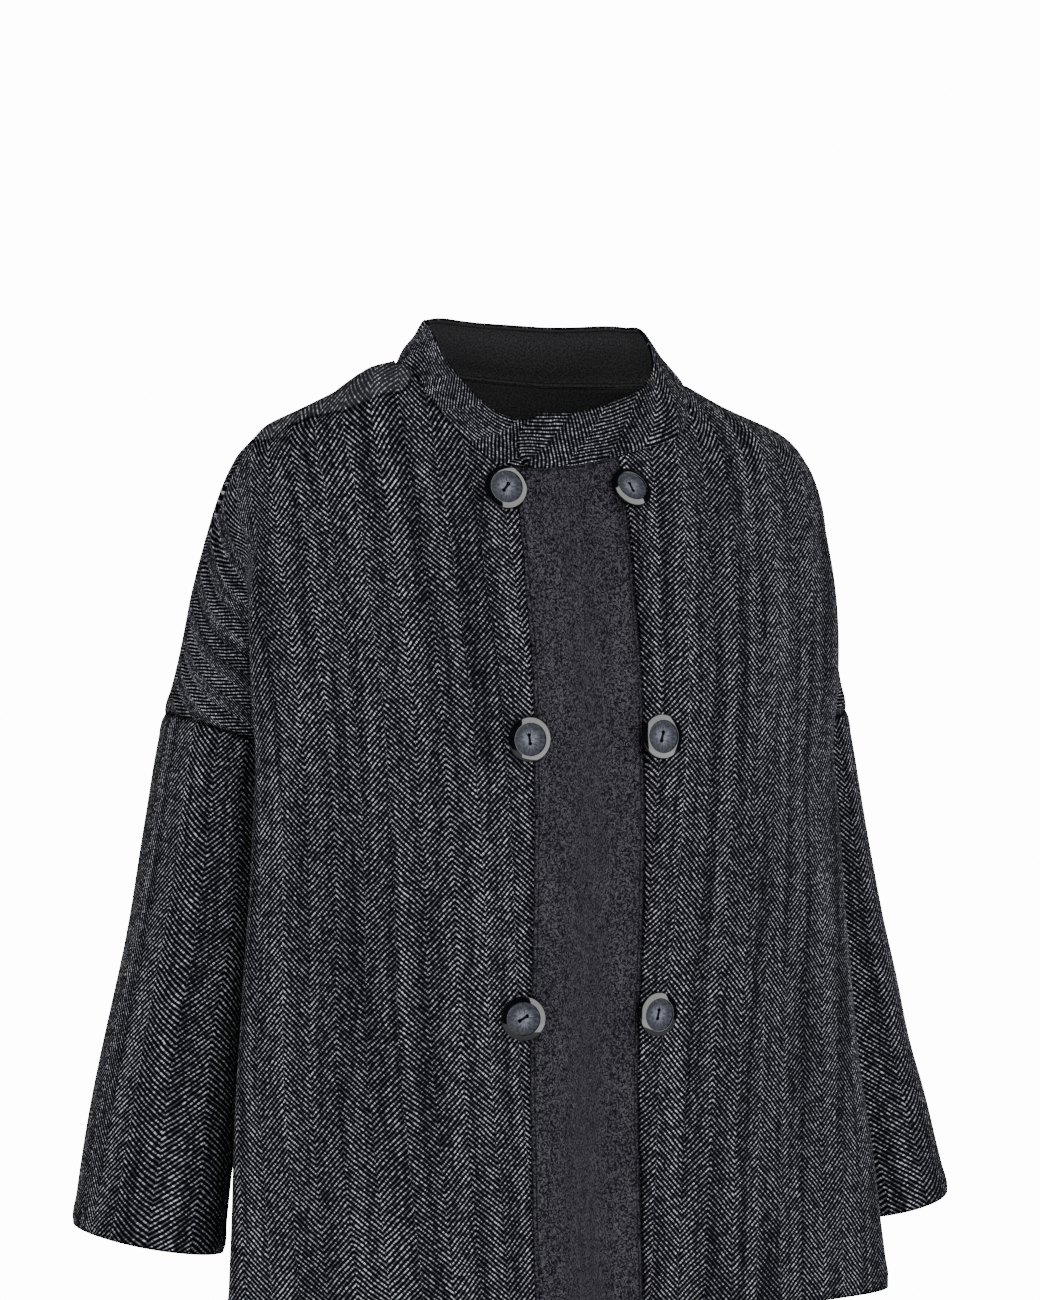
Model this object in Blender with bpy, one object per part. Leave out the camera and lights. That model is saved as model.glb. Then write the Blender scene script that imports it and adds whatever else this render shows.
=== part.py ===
"""Reversible wool jacket, double-breasted, with a stand collar.

Metres, +Z up, the front faces -Y, the wearer's left is +X.
The origin is the middle of the neck at the height of the shoulder seam's
inner end, where the wearer's neck and shoulders hold the jacket up.

The cloth is a hollow worn form. One outline is worked out for each height
from the table SECTIONS; the panels are pieces of the surface through those
outlines, each with the real thickness of the double cloth turned inwards.
Neck, hem and cuffs are open.
"""

import math

import bmesh
import bpy
import numpy as np
from mathutils import Vector

MM = 0.001

# ---- driving dimensions (mm) ------------------------------------------
CLOTH = 2.4            # thickness of the double-faced wool
GAP = 0.3              # clearance at every seam
LAYER = CLOTH + GAP    # how far a lapped layer stands off the one below

NECK_HALF_WIDTH = 105.0
NECK_POINT_Z = 4.0
NECK_FRONT_Z = -66.0
NECK_BACK_Z = 1.0
NECK_ROUND = 0.85      # exponent that squares the front neckline
NECK_SLANT = 0.19      # the front neckline is worn lower on the wearer's right

UNDERARM_Z = -275.0    # where body and sleeve part
ARMHOLE_RISE = 25.0    # the armhole seam is higher on the outer arm
FOLD_TOP_Z = -105.0    # the drape fold at the front of the arm starts here
SEAM_TURN_Z = -150.0   # corner column of the panels on the overarm line
HEM_Z = -690.0

SHOULDER_TILT = 0.08   # the wearer's right shoulder and neck sit higher

CUFF_Z = -640.0
CUFF_TILT = 0.18       # the cuff is square to the slanting arm

BAND_EDGE_X = -49.0    # free edge of the front band, past the centre
BAND_SEAM_X = 34.0     # where the band joins the front
UNDERLAP_X = 49.0      # hidden edge of the front that lies under
LAP_FADE_X = 95.0      # here the upper front is back on the outline

COLLAR_HEIGHT = 44.0
COLLAR_LEAN = math.radians(35.0)
COLLAR_BACK_RISE = 5.0  # the collar stands higher at the back
COLLAR_SIDE_RISE = 0.045  # and higher towards the wearer's left
COLLAR_TIP_LIFT = 4.0  # the end that laps over stands off at its top edge
COLLAR_END_X = 44.0    # each collar end passes the centre by this
# rounded collar end: at this distance from its tip it reaches from low to
# high, as shares of the height
COLLAR_TIP_COLUMNS = ("back", "low", "high")
COLLAR_TIP = ((0.0, 0.28, 0.50), (2.5, 0.13, 0.66), (7.0, 0.05, 0.79), (13.0, 0.01, 0.90), (21.0, 0.0, 0.99))

BUTTON_RADIUS = 16.1
BUTTON_THICK = 4.8
BUTTON_STAND = 4.2     # underside of the disc above the cloth under it
BUTTON_FOOT_RADIUS = 3.6
BUTTON_ROWS_COLUMNS = ("height", "right", "left")
BUTTON_ROWS = ((-86.0, -58.5, 35.5), (-262.0, -54.5, 44.0), (-463.0, -54.5, 44.0))

# how far the worn jacket is carried to the wearer's left at each height
SWAY_COLUMNS = ("z", "shift")
SWAY = (
    (16.0, 3.0), (-20.0, 2.0), (-50.0, 3.0), (-80.0, 4.5), (-110.0, 3.2), (-140.0, 1.0), (-170.0, -1.0),
    (-230.0, -1.5), (-280.0, -2.5), (-330.0, -1.0), (-400.0, 0.0), (-500.0, 0.8), (-560.0, 3.0),
    (-620.0, 5.5), (-690.0, 8.0),
)
# where a shoulder is fuller than the even outline
SHOULDERS_COLUMNS = ("x", "width", "rise")
SHOULDERS = ((-150.0, 45.0, 3.4), (190.0, 42.0, 4.6))

# ---- the outline at each height (mm) -----------------------------------
# wide, arm_y : widest point, on the overarm line
# front, back : centre front and centre back
# box         : 2 is an ellipse, more is squarer
SECTIONS_COLUMNS = ("z", "wide", "arm_y", "front", "back", "box")
SECTIONS = (
    (16.0, 92.0, -4.0, -58.0, 76.0, 2.0),
    (8.0, 105.0, 0.0, -61.0, 81.0, 2.0),
    (-4.0, 128.0, 8.0, -64.0, 88.0, 2.0),
    (-16.0, 147.0, 16.0, -67.0, 95.0, 2.1),
    (-30.0, 179.0, 27.0, -70.0, 102.0, 2.2),
    (-43.0, 208.5, 37.0, -73.0, 107.0, 2.3),
    (-60.0, 223.0, 44.0, -77.0, 112.0, 2.4),
    (-91.0, 234.5, 52.0, -91.0, 119.0, 2.5),
    (-151.0, 246.5, 58.0, -121.0, 125.0, 2.6),
    (-211.0, 257.5, 61.0, -142.0, 126.0, 2.6),
    (-275.0, 272.0, 62.0, -150.0, 123.0, 2.6),
    (-380.0, 291.0, 61.0, -143.0, 118.0, 2.6),
    (-480.0, 314.0, 60.0, -131.0, 116.0, 2.6),
    (-592.0, 340.0, 57.0, -124.0, 118.0, 2.6),
    (-700.0, 365.0, 54.0, -122.0, 122.0, 2.6),
)

# body below the underarm: the drape fold ("nose") at the front corner, the
# side seam, the softer corner of the back, and half the sleeve's two axes
BODY_COLUMNS = ("z", "nose_x", "nose_y", "side_x", "side_y",
                "rear_x", "rear_y", "arm_hx", "arm_hy")
BODY = (
    (-275.0, 224.0, -40.0, 184.0, 20.0, 180.0, 104.0, 37.0, 76.0),
    (-380.0, 232.0, -42.0, 192.0, 20.0, 188.0, 103.0, 44.0, 76.0),
    (-480.0, 240.0, -44.0, 201.0, 20.0, 197.0, 103.0, 50.0, 75.0),
    (-592.0, 251.0, -48.0, 210.0, 20.0, 207.0, 103.0, 56.0, 75.0),
    (-700.0, 260.0, -52.0, 218.0, 20.0, 216.0, 104.0, 60.0, 74.0),
)

# where the control points of an outline lie on its convex form (degrees
# from centre front): centre, quarter, nose, valley, arm, arm, overarm
CONVEX_ANGLES = (0.0, 24.0, 63.8, 70.4, 75.4, 81.7, 90.0)

# soft folds hanging in the cloth: t is the place across the outline
# (0 centre front, 3 side, 6 overarm, 9 side, 12 centre back)
FOLDS_COLUMNS = ("side", "t", "width", "top", "bottom", "depth")
FOLDS = (
    (-1, 1.35, 0.24, -330.0, -760.0, 7.0),
    (-1, 0.85, 0.16, -420.0, -760.0, -4.0),
    (1, 1.30, 0.22, -300.0, -760.0, 6.0),
    (1, 0.88, 0.18, -450.0, -760.0, -4.0),
    (-1, 11.00, 0.30, -180.0, -760.0, 7.0),
    (1, 10.80, 0.28, -230.0, -760.0, 8.0),
    (-1, 11.65, 0.20, -380.0, -760.0, -5.0),
    (1, 11.60, 0.22, -330.0, -760.0, -4.0),
)
SLEEVE_FOLDS_COLUMNS = ("side", "angle", "width", "top", "bottom", "depth")
SLEEVE_FOLDS = (
    (-1, -98.0, 17.0, -400.0, -590.0, 9.0),
    (-1, -52.0, 15.0, -300.0, -430.0, -3.0),
    (1, -92.0, 17.0, -380.0, -560.0, 8.0),
    (1, 96.0, 18.0, -330.0, -600.0, 7.0),
    (-1, 92.0, 18.0, -360.0, -620.0, 8.0),
)


def smooth(value):
    value = min(1.0, max(0.0, value))
    return value * value * (3.0 - 2.0 * value)


def table_curve(columns, rows, name):
    """A monotone cubic through one named column, as a function of z."""
    k = columns.index(name)
    data = sorted((row[0], row[k]) for row in rows)
    xs = np.array([d[0] for d in data])
    ys = np.array([d[1] for d in data])
    h = np.diff(xs)
    d = np.diff(ys) / h
    m = np.zeros(len(xs))
    m[0], m[-1] = d[0], d[-1]
    for i in range(1, len(xs) - 1):
        if d[i - 1] * d[i] > 0:
            w1, w2 = 2 * h[i] + h[i - 1], h[i] + 2 * h[i - 1]
            m[i] = (w1 + w2) / (w1 / d[i - 1] + w2 / d[i])

    def value(z):
        z = min(xs[-1], max(xs[0], z))
        i = int(min(len(h) - 1, max(0, np.searchsorted(xs, z) - 1)))
        s = (z - xs[i]) / h[i]
        a = (1 + 2 * s) * (1 - s) ** 2
        b = s * (1 - s) ** 2
        c = s * s * (3 - 2 * s)
        e = s * s * (s - 1)
        return float(a * ys[i] + b * h[i] * m[i] + c * ys[i + 1] + e * h[i] * m[i + 1])

    return value


SEC = {n: table_curve(SECTIONS_COLUMNS, SECTIONS, n) for n in SECTIONS_COLUMNS[1:]}
BOD = {n: table_curve(BODY_COLUMNS, BODY, n) for n in BODY_COLUMNS[1:]}
sway = table_curve(SWAY_COLUMNS, SWAY, "shift")


def convex_point(z, degrees, rear):
    a = math.radians(degrees)
    e = 2.0 / SEC["box"](z)
    centre = SEC["back"](z) if rear else SEC["front"](z)
    x = SEC["wide"](z) * math.sin(a) ** e
    y = SEC["arm_y"](z) + (centre - SEC["arm_y"](z)) * max(0.0, math.cos(a)) ** e
    return (x, y)


def draped_point(z, index, rear):
    """Control point of the full fold: body corner, valley and arm tube."""
    centre = SEC["back"](z) if rear else SEC["front"](z)
    nose = (BOD["rear_x"](z), BOD["rear_y"](z)) if rear else (BOD["nose_x"](z), BOD["nose_y"](z))
    hx, hy = BOD["arm_hx"](z), BOD["arm_hy"](z)
    cx, cy = SEC["wide"](z) - hx, SEC["arm_y"](z)
    sign = 1.0 if rear else -1.0
    if index == 0:
        return (0.0, centre)
    if index == 1:
        return (0.52 * nose[0], centre + 0.11 * (nose[1] - centre))
    if index == 2:
        return nose
    if index == 3:
        return (BOD["side_x"](z), BOD["side_y"](z))
    angle = math.radians({4: 118.0, 5: 58.0, 6: 0.0}[index])
    return (cx + hx * math.cos(angle), cy + sign * hy * math.sin(angle))


def controls(z):
    """Thirteen control points, centre front round the arm to centre back."""
    drape = min(1.0, max(0.0, (FOLD_TOP_Z - z) / (FOLD_TOP_Z - UNDERARM_Z))) ** 1.3
    points = []
    for k in range(13):
        rear = k > 6
        index = 12 - k if rear else k
        cx, cy = convex_point(z, CONVEX_ANGLES[index], rear)
        dx, dy = draped_point(z, index, rear)
        points.append((cx + (dx - cx) * drape, cy + (dy - cy) * drape))
    if z < UNDERARM_Z:                      # the body alone, one side point
        points = points[:4] + points[10:]
    return points


CACHE = {}


def outline(t, z, side=1.0):
    """Point of the outline at t and z; side -1 is the wearer's right."""
    if t < 0.0:
        x, y = outline(-t, z, -side)
        return (x, y)
    if t > 12.0:
        x, y = outline(24.0 - t, z, -side)
        return (x, y)
    key = round(z, 4)
    pts = CACHE.get(key)
    if pts is None:
        pts = CACHE[key] = controls(z)
    if z < UNDERARM_Z and t > 3.0:
        t = max(3.0, t - 6.0)
    n = len(pts)
    i = int(min(n - 2, math.floor(t)))
    s = t - i
    p0 = pts[i - 1] if i > 0 else (-pts[1][0], pts[1][1])
    p3 = pts[i + 2] if i + 2 < n else (-pts[n - 2][0], pts[n - 2][1])
    p1, p2 = pts[i], pts[i + 1]
    out = []
    d = [max(1e-6, math.dist(a, b)) ** 0.5 for a, b in ((p0, p1), (p1, p2), (p2, p3))]
    for a in range(2):
        m1 = (p1[a] - p0[a]) / d[0] - (p2[a] - p0[a]) / (d[0] + d[1]) + (p2[a] - p1[a]) / d[1]
        m2 = (p2[a] - p1[a]) / d[1] - (p3[a] - p1[a]) / (d[1] + d[2]) + (p3[a] - p2[a]) / d[2]
        m1, m2 = m1 * d[1], m2 * d[1]
        out.append((2 * s**3 - 3 * s**2 + 1) * p1[a] + (s**3 - 2 * s**2 + s) * m1
                   + (-2 * s**3 + 3 * s**2) * p2[a] + (s**3 - s**2) * m2)
    return (side * out[0], out[1])


def fold_depth(t, z, side):
    total = 0.0
    for row in FOLDS:
        f = dict(zip(FOLDS_COLUMNS, row))
        if f["side"] != side or not f["bottom"] < z < f["top"]:
            continue
        along = (f["top"] - z) / (f["top"] - f["bottom"])
        strength = smooth(along * 2.2)
        total += f["depth"] * strength * math.exp(-((t - f["t"]) / f["width"]) ** 2)
    return total


def surface(t, z, side):
    """Outer face of the cloth, in mm, with its soft folds."""
    x, y = outline(t, z, side)
    depth = fold_depth(abs(t), z, side if t >= 0 else -side)
    if depth:
        x1, y1 = outline(t + 0.02, z, side)
        tx, ty = x1 - x, y1 - y
        length = math.hypot(tx, ty) or 1.0
        x, y = x - side * depth * ty / length * -1.0, y + side * depth * -tx / length * -1.0
    rise = -SHOULDER_TILT * x * math.exp(-(x / 170.0) ** 2)
    for at, width, full in SHOULDERS:
        rise += full * math.exp(-((x - at) / width) ** 2)
    return Vector((x + sway(z), y, z + rise * smooth((z + 140.0) / 110.0)))


def t_at_x(x, z, rear=False):
    lo, hi = (6.0, 12.0) if rear else (0.0, 6.0)
    if z < UNDERARM_Z:
        lo, hi = (9.0, 12.0) if rear else (0.0, 2.0)
    for _ in range(30):
        mid = 0.5 * (lo + hi)
        if (outline(mid, z)[0] < x) != rear:
            lo = mid
        else:
            hi = mid
    return 0.5 * (lo + hi)


LENGTHS = {}


def lengths(z, rear):
    """Length along the outline from its middle to the overarm line."""
    key = (round(z, 3), rear)
    if key not in LENGTHS:
        ts = [k / 10.0 for k in range(61)]
        pts = [outline(12.0 - t if rear else t, z) for t in ts]
        run = [0.0]
        for a, b in zip(pts, pts[1:]):
            run.append(run[-1] + math.dist(a, b))
        LENGTHS[key] = (ts, run)
    return LENGTHS[key]


def length_at(t, z, rear):
    ts, run = lengths(z, rear)
    return float(np.interp(12.0 - t if rear else t, ts, run))


def t_at_length(length, z, rear):
    ts, run = lengths(z, rear)
    t = float(np.interp(length, run, ts))
    return 12.0 - t if rear else t


def seam_t(z):
    """The shoulder seam lies a little forward of the overarm line."""
    return 6.0 - 0.75 * (1.0 - smooth(-z / 150.0))


def neck_front(x):
    f = min(1.0, abs(x) / NECK_HALF_WIDTH) ** (1.0 / NECK_ROUND)
    c = max(0.0, 1.0 - f * f) ** 0.5
    slant = NECK_SLANT * x * (1.0 - smooth((abs(x) - 45.0) / 55.0))
    return NECK_POINT_Z + (NECK_FRONT_Z - NECK_POINT_Z) * c ** NECK_ROUND + slant


def neck_back(x):
    f = min(1.0, abs(x) / NECK_HALF_WIDTH)
    return NECK_POINT_Z + (NECK_BACK_Z - NECK_POINT_Z) * (1.0 - f * f)


# ---- the net of the panels ----------------------------------------------
CENTRE_X = (0.0, 17.0, BAND_SEAM_X, UNDERLAP_X)
NECK_X = (65.0, 82.0, 94.5, 101.6, 104.4)
LOW_T = (0.58, 0.74, 0.90, 1.06, 1.24, 1.42, 1.60, 1.75, 1.88, 2.0, 2.14, 2.36, 2.66, 3.0,
         3.22, 3.46, 3.72, 4.0, 4.33, 4.66, 5.0, 5.33, 5.66, 6.0)
SIDE_COLUMN = len(CENTRE_X) + LOW_T.index(3.0)
LAST_COLUMN = len(CENTRE_X) + len(LOW_T) - 1
NECK_COLUMN = len(CENTRE_X) + len(NECK_X)      # column of the neck point
ROWS_UP = 11
ROWS_LOW = 9


def seam_heights():
    """Even steps along the shoulder seam from the neck point down."""
    zs = np.linspace(NECK_POINT_Z, SEAM_TURN_Z, 160)
    pts = [surface(seam_t(z), z, 1) for z in zs]
    run = [0.0]
    for a, b in zip(pts, pts[1:]):
        run.append(run[-1] + (b - a).length)
    count = LAST_COLUMN - NECK_COLUMN
    return [float(np.interp(run[-1] * k / count, run, zs)) for k in range(count + 1)]


SEAM_Z = seam_heights()


def armhole_z(column):
    f = (column - SIDE_COLUMN) / (LAST_COLUMN - SIDE_COLUMN)
    return UNDERARM_Z + ARMHOLE_RISE * smooth(max(0.0, f))


def net_point(column, row, side, rear):
    """Row 0 is the neck and shoulder seam, ROWS_UP the underarm level."""
    flip = (lambda t: 12.0 - t) if rear else (lambda t: t)
    neck = neck_back if rear else neck_front
    sign = -1 if column < 0 else 1
    column = abs(column)
    side = side * sign
    if row > ROWS_UP:
        z = UNDERARM_Z + (HEM_Z - UNDERARM_Z) * (row - ROWS_UP) / ROWS_LOW
        if column < len(CENTRE_X):
            return surface(t_at_x(CENTRE_X[column], z, rear), z, side)
        return surface(flip(LOW_T[column - len(CENTRE_X)]), z, side)
    s = row / ROWS_UP
    if column < len(CENTRE_X):
        x = CENTRE_X[column]
        z = neck(side * x) + (UNDERARM_Z - neck(side * x)) * s
        return surface(t_at_x(x, z, rear), z, side)
    low_t = flip(LOW_T[column - len(CENTRE_X)])
    if column < NECK_COLUMN:
        x = NECK_X[column - len(CENTRE_X)]
        z0 = neck(side * x)
        t0 = t_at_x(x, z0, rear)
    else:
        z0 = SEAM_Z[column - NECK_COLUMN]
        t0 = seam_t(z0)
    z = z0 + (armhole_z(column) - z0) * s
    if column == LAST_COLUMN:
        return surface(seam_t(z), z, side)
    if row == 0:
        return surface(t0, z, side)
    l0 = length_at(t0, z0, rear)
    l1 = length_at(low_t, armhole_z(column), rear)
    free_t = t_at_length(l0 + (l1 - l0) * s, z, rear)
    hold = smooth((FOLD_TOP_Z + 15.0 - z) / 70.0) * smooth(s * 3.0)
    return surface(free_t + (low_t - free_t) * hold, z, side)


# ---- cloth pieces ---------------------------------------------------------
class Cloth:
    """A net of outer points with quads, thickened inwards."""

    def __init__(self):
        self.points = []
        self.keys = {}
        self.quads = []
        self.forced = {}
        self.lift = []

    def add(self, key, point, lift=0.0):
        if key not in self.keys:
            self.keys[key] = len(self.points)
            self.points.append(Vector(point))
            self.lift.append(lift)
        return self.keys[key]

    def quad(self, a, b, c, d, flip):
        q = [self.keys[k] for k in (a, b, c, d)]
        self.quads.append(q[::-1] if flip else q)


def place_key(p):
    return (round(p.x, 2), round(p.y, 2), round(p.z, 2))


def face_normal(pts):
    return (pts[2] - pts[0]).cross(pts[3] - pts[1])


def shared_normals(cloths):
    total = {}
    for cloth in cloths:
        for q in cloth.quads:
            pts = [cloth.points[i] for i in q]
            n = face_normal(pts).normalized()
            for p in pts:
                k = place_key(p)
                total[k] = total.get(k, Vector((0, 0, 0))) + n
    return total


def thicken(cloth, normals):
    """Outer net, inner net and the edge walls, as points and faces in mm."""
    n_of = []
    for i, p in enumerate(cloth.points):
        n = cloth.forced.get(i) or normals[place_key(p)]
        n_of.append(Vector(n).normalized())
    edges = {}
    for q in cloth.quads:
        for a in range(4):
            e = (q[a], q[(a + 1) % 4])
            edges[e] = q
    rim = [e for e in edges if (e[1], e[0]) not in edges]
    inward = {}
    for a, b in rim:
        q = edges[(a, b)]
        others = [cloth.points[i] for i in q if i not in (a, b)]
        mid = (cloth.points[a] + cloth.points[b]) * 0.5
        e = (cloth.points[b] - cloth.points[a]).normalized()
        d = (others[0] + others[1]) * 0.5 - mid
        d = (d - e * d.dot(e)).normalized()
        inward.setdefault(a, []).append(d)
        inward.setdefault(b, []).append(d)
    outer = []
    for i, p in enumerate(cloth.points):
        p = p + n_of[i] * cloth.lift[i]
        ds = inward.get(i)
        if ds:
            d1, d2 = ds[0], ds[-1]
            p = p + (d1 + d2) * (0.5 * GAP / (1.0 + max(-0.2, d1.dot(d2))))
        outer.append(p)
    inner = [p - n_of[i] * CLOTH for i, p in enumerate(outer)]
    count = len(outer)
    faces = [tuple(q) for q in cloth.quads]
    faces += [tuple(i + count for i in reversed(q)) for q in cloth.quads]
    faces += [(b, a, a + count, b + count) for a, b in rim]
    return outer + inner, faces


def lap_lift(x):
    return LAYER * (1.0 - smooth((x - 52.0) / (LAP_FADE_X - 52.0)))


def panel(first, last, side, rear, lapped=False):
    """Columns first..last of the net; columns past the side seam stop at
    the armhole."""
    cloth = Cloth()
    for row in range(ROWS_UP + ROWS_LOW + 1):
        for col in range(first, last + 1):
            if row > ROWS_UP and abs(col) > SIDE_COLUMN:
                continue
            p = net_point(col, row, side, rear)
            cloth.add((col, row), p, lap_lift(p.x) if lapped else 0.0)
    flip = (side < 0) != rear
    for row in range(ROWS_UP + ROWS_LOW):
        for col in range(first, last):
            if row >= ROWS_UP and (abs(col) > SIDE_COLUMN or abs(col + 1) > SIDE_COLUMN):
                continue
            cloth.quad((col, row), (col, row + 1), (col + 1, row + 1), (col + 1, row), flip)
    for col in (SIDE_COLUMN, -SIDE_COLUMN):
        if (col, ROWS_UP) in cloth.keys:
            s = side * (1 if col > 0 else -1)
            cloth.forced[cloth.keys[(col, ROWS_UP)]] = Vector((s, 0, 0))
    return cloth


RING_ROWS = 10


def ellipse_point(z, angle, side):
    hx, hy = BOD["arm_hx"](z), BOD["arm_hy"](z)
    cx, cy = SEC["wide"](z) - hx, SEC["arm_y"](z)
    a = math.radians(angle)
    deep = 0.0
    for row in SLEEVE_FOLDS:
        f = dict(zip(SLEEVE_FOLDS_COLUMNS, row))
        if f["side"] == side and f["bottom"] < z < f["top"]:
            along = (f["top"] - z) / (f["top"] - f["bottom"])
            deep += f["depth"] * math.sin(math.pi * along) ** 1.2 * math.exp(
                -((angle - f["angle"]) / f["width"]) ** 2)
    n = Vector((math.cos(a) / hx, math.sin(a) / hy, 0)).normalized()
    return Vector((sway(z) + side * (cx + hx * math.cos(a) - n.x * deep),
                   cy + hy * math.sin(a) - n.y * deep, z))


def sleeve(side):
    cloth = Cloth()
    ring = []
    for col in range(SIDE_COLUMN + 1, LAST_COLUMN + 1):
        ring.append(net_point(col, ROWS_UP, side, False))
    for col in range(LAST_COLUMN - 1, SIDE_COLUMN, -1):
        ring.append(net_point(col, ROWS_UP, side, True))
    under = Vector((sway(UNDERARM_Z) + side * (BOD["side_x"](UNDERARM_Z) + 4.5), BOD["side_y"](UNDERARM_Z), UNDERARM_Z))
    ring.append(under)
    angles, deltas = [], []
    for p in ring:
        hx, hy = BOD["arm_hx"](p.z), BOD["arm_hy"](p.z)
        cx, cy = SEC["wide"](p.z) - hx, SEC["arm_y"](p.z)
        a = math.degrees(math.atan2((p.y - cy) / hy, (side * (p.x - sway(p.z)) - cx) / hx))
        angles.append(a)
        deltas.append(p - ellipse_point(p.z, a, side))
    for row in range(RING_ROWS + 1):
        s = row / RING_ROWS
        for i, top in enumerate(ring):
            if row == 0:
                cloth.add((i, 0), top)
                continue
            hx = BOD["arm_hx"](CUFF_Z)
            end = CUFF_Z + CUFF_TILT * hx * math.cos(math.radians(angles[i]))
            z = top.z + (end - top.z) * s
            p = ellipse_point(z, angles[i], side) + deltas[i] * (1.0 - smooth(s * 2.2))
            cloth.add((i, row), (p.x, p.y, z))
    n = len(ring)
    for row in range(RING_ROWS):
        for i in range(n):
            j = (i + 1) % n
            cloth.quad((i, row), (i, row + 1), (j, row + 1), (j, row), side < 0)
    cloth.forced[cloth.keys[(n - 1, 0)]] = Vector((-side, 0, 0))
    return cloth


# ---- collar ----------------------------------------------------------------
def collar_base():
    """Base line of the collar from its under end, round the back, to the
    end that laps over: (x, rear, level)."""
    front = list(reversed(NECK_X)) + [UNDERLAP_X, BAND_SEAM_X, 17.0, 0.0, -17.0, -BAND_SEAM_X]
    back = list(reversed(NECK_X)) + [UNDERLAP_X, BAND_SEAM_X, 17.0]
    tip = [COLLAR_END_X - row[0] for row in COLLAR_TIP]
    line = [(x, False, 0) for x in tip]
    line += [(-x, False, 0) for x in reversed(front) if -x < tip[-1] - 4.0]
    line += [(-NECK_HALF_WIDTH, None, 0)]
    line += [(-x, True, 0) for x in back] + [(0.0, True, 0)] + [(x, True, 1) for x in reversed(back)]
    line += [(NECK_HALF_WIDTH, None, 1)]
    line += [(x, False, 1) for x in front if -x < tip[-1] - 4.0]
    line += [(-x, False, 1) for x in reversed(tip)]
    return line


def collar_point(x, rear, level, h):
    side = -1.0 if x < 0 else 1.0
    if rear is None:
        p = surface(seam_t(NECK_POINT_Z), NECK_POINT_Z, side)
    elif rear:
        z = neck_back(x)
        p = surface(t_at_x(abs(x), z, True), z, side)
    else:
        z = neck_front(x)
        p = surface(t_at_x(abs(x), z), z, side)
    o = Vector((p.x / NECK_HALF_WIDTH ** 2, (p.y - 10.0) / 72.0 ** 2, 0)).normalized()
    n = o * math.cos(COLLAR_LEAN) + Vector((0, 0, math.sin(COLLAR_LEAN)))
    up = Vector((0, 0, math.cos(COLLAR_LEAN))) - o * math.sin(COLLAR_LEAN)
    share = h / COLLAR_HEIGHT
    lift = 0.0
    if level and not rear:
        lift = lap_lift(p.x) + COLLAR_TIP_LIFT * share * share * smooth((25.0 - x) / 60.0)
    bow = -1.6 * math.sin(math.pi * share)
    behind = 1.0 if rear or rear is None else smooth((abs(x) - 55.0) / 48.0)
    rise = (COLLAR_BACK_RISE + COLLAR_SIDE_RISE * p.x) * behind
    return p + up * (h + rise * share + GAP) + n * (lift + bow), n


def collar():
    cloth = Cloth()
    line = collar_base()
    rows = 5
    normals = {}
    for i, (x, rear, level) in enumerate(line):
        end = min(i, len(line) - 1 - i)
        low, high = COLLAR_TIP[end][1:] if end < len(COLLAR_TIP) else (0.0, 1.0)
        low, high = low * COLLAR_HEIGHT, high * COLLAR_HEIGHT
        for k in range(rows):
            p, n = collar_point(x, rear, level, low + (high - low) * k / (rows - 1))
            index = cloth.add((i, k), p)
            cloth.forced[index] = n
    for i in range(len(line) - 1):
        for k in range(rows - 1):
            cloth.quad((i, k), (i, k + 1), (i + 1, k + 1), (i + 1, k), True)
    return cloth


# ---- buttons -----------------------------------------------------------------
BUTTON_PROFILE_COLUMNS = ("radius", "height")
BUTTON_PROFILE = (
    (BUTTON_FOOT_RADIUS, 0.0),
    (BUTTON_FOOT_RADIUS, BUTTON_STAND),
    (BUTTON_RADIUS - 1.0, BUTTON_STAND + 0.3),
    (BUTTON_RADIUS, BUTTON_STAND + 2.2),
    (BUTTON_RADIUS - 1.4, BUTTON_STAND + BUTTON_THICK),
    (BUTTON_RADIUS - 4.4, BUTTON_STAND + BUTTON_THICK - 0.5),
    (BUTTON_RADIUS - 5.6, BUTTON_STAND + BUTTON_THICK - 1.4),
)
BUTTON_SIDES = 20


def button_frame(x, z, level):
    side = -1.0 if x < 0 else 1.0
    t = t_at_x(abs(x), z)
    p = surface(t, z, side)
    across = surface(t_at_x(abs(x) + 2.0, z), z, side) - surface(t_at_x(abs(x) - 2.0, z), z, side)
    along = (surface(t_at_x(abs(x), z + 3.0), z + 3.0, side)
             - surface(t_at_x(abs(x), z - 3.0), z - 3.0, side))
    n = across.cross(along).normalized()
    if n.y > 0:
        n = -n
    return p + n * (level * LAYER + 0.4), n


def revolve(origin, axis):
    side = axis.cross(Vector((0, 0, 1))).normalized()
    up = side.cross(axis).normalized()
    points, faces = [], []
    for r, h in BUTTON_PROFILE:
        for k in range(BUTTON_SIDES):
            a = 2 * math.pi * k / BUTTON_SIDES
            points.append(origin + axis * h + side * (r * math.cos(a)) + up * (r * math.sin(a)))
    n = BUTTON_SIDES
    for ring in range(len(BUTTON_PROFILE) - 1):
        for k in range(n):
            a, b = ring * n + k, ring * n + (k + 1) % n
            faces.append((a, b, b + n, a + n))
    points.append(origin)
    points.append(origin + axis * (BUTTON_STAND + BUTTON_THICK - 1.7))
    top = (len(BUTTON_PROFILE) - 1) * n
    for k in range(n):
        faces.append(((k + 1) % n, k, len(points) - 2))
        faces.append((top + k, top + (k + 1) % n, len(points) - 1))
    return points, faces


# ---- objects ------------------------------------------------------------------
def material(name, colour, roughness):
    mat = bpy.data.materials.new(name)
    mat.use_nodes = True
    shader = mat.node_tree.nodes["Principled BSDF"]
    shader.inputs["Base Color"].default_value = (*colour, 1.0)
    shader.inputs["Roughness"].default_value = roughness
    shader.inputs["Metallic"].default_value = 0.0
    mat.diffuse_color = (*colour, 1.0)
    return mat


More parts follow.
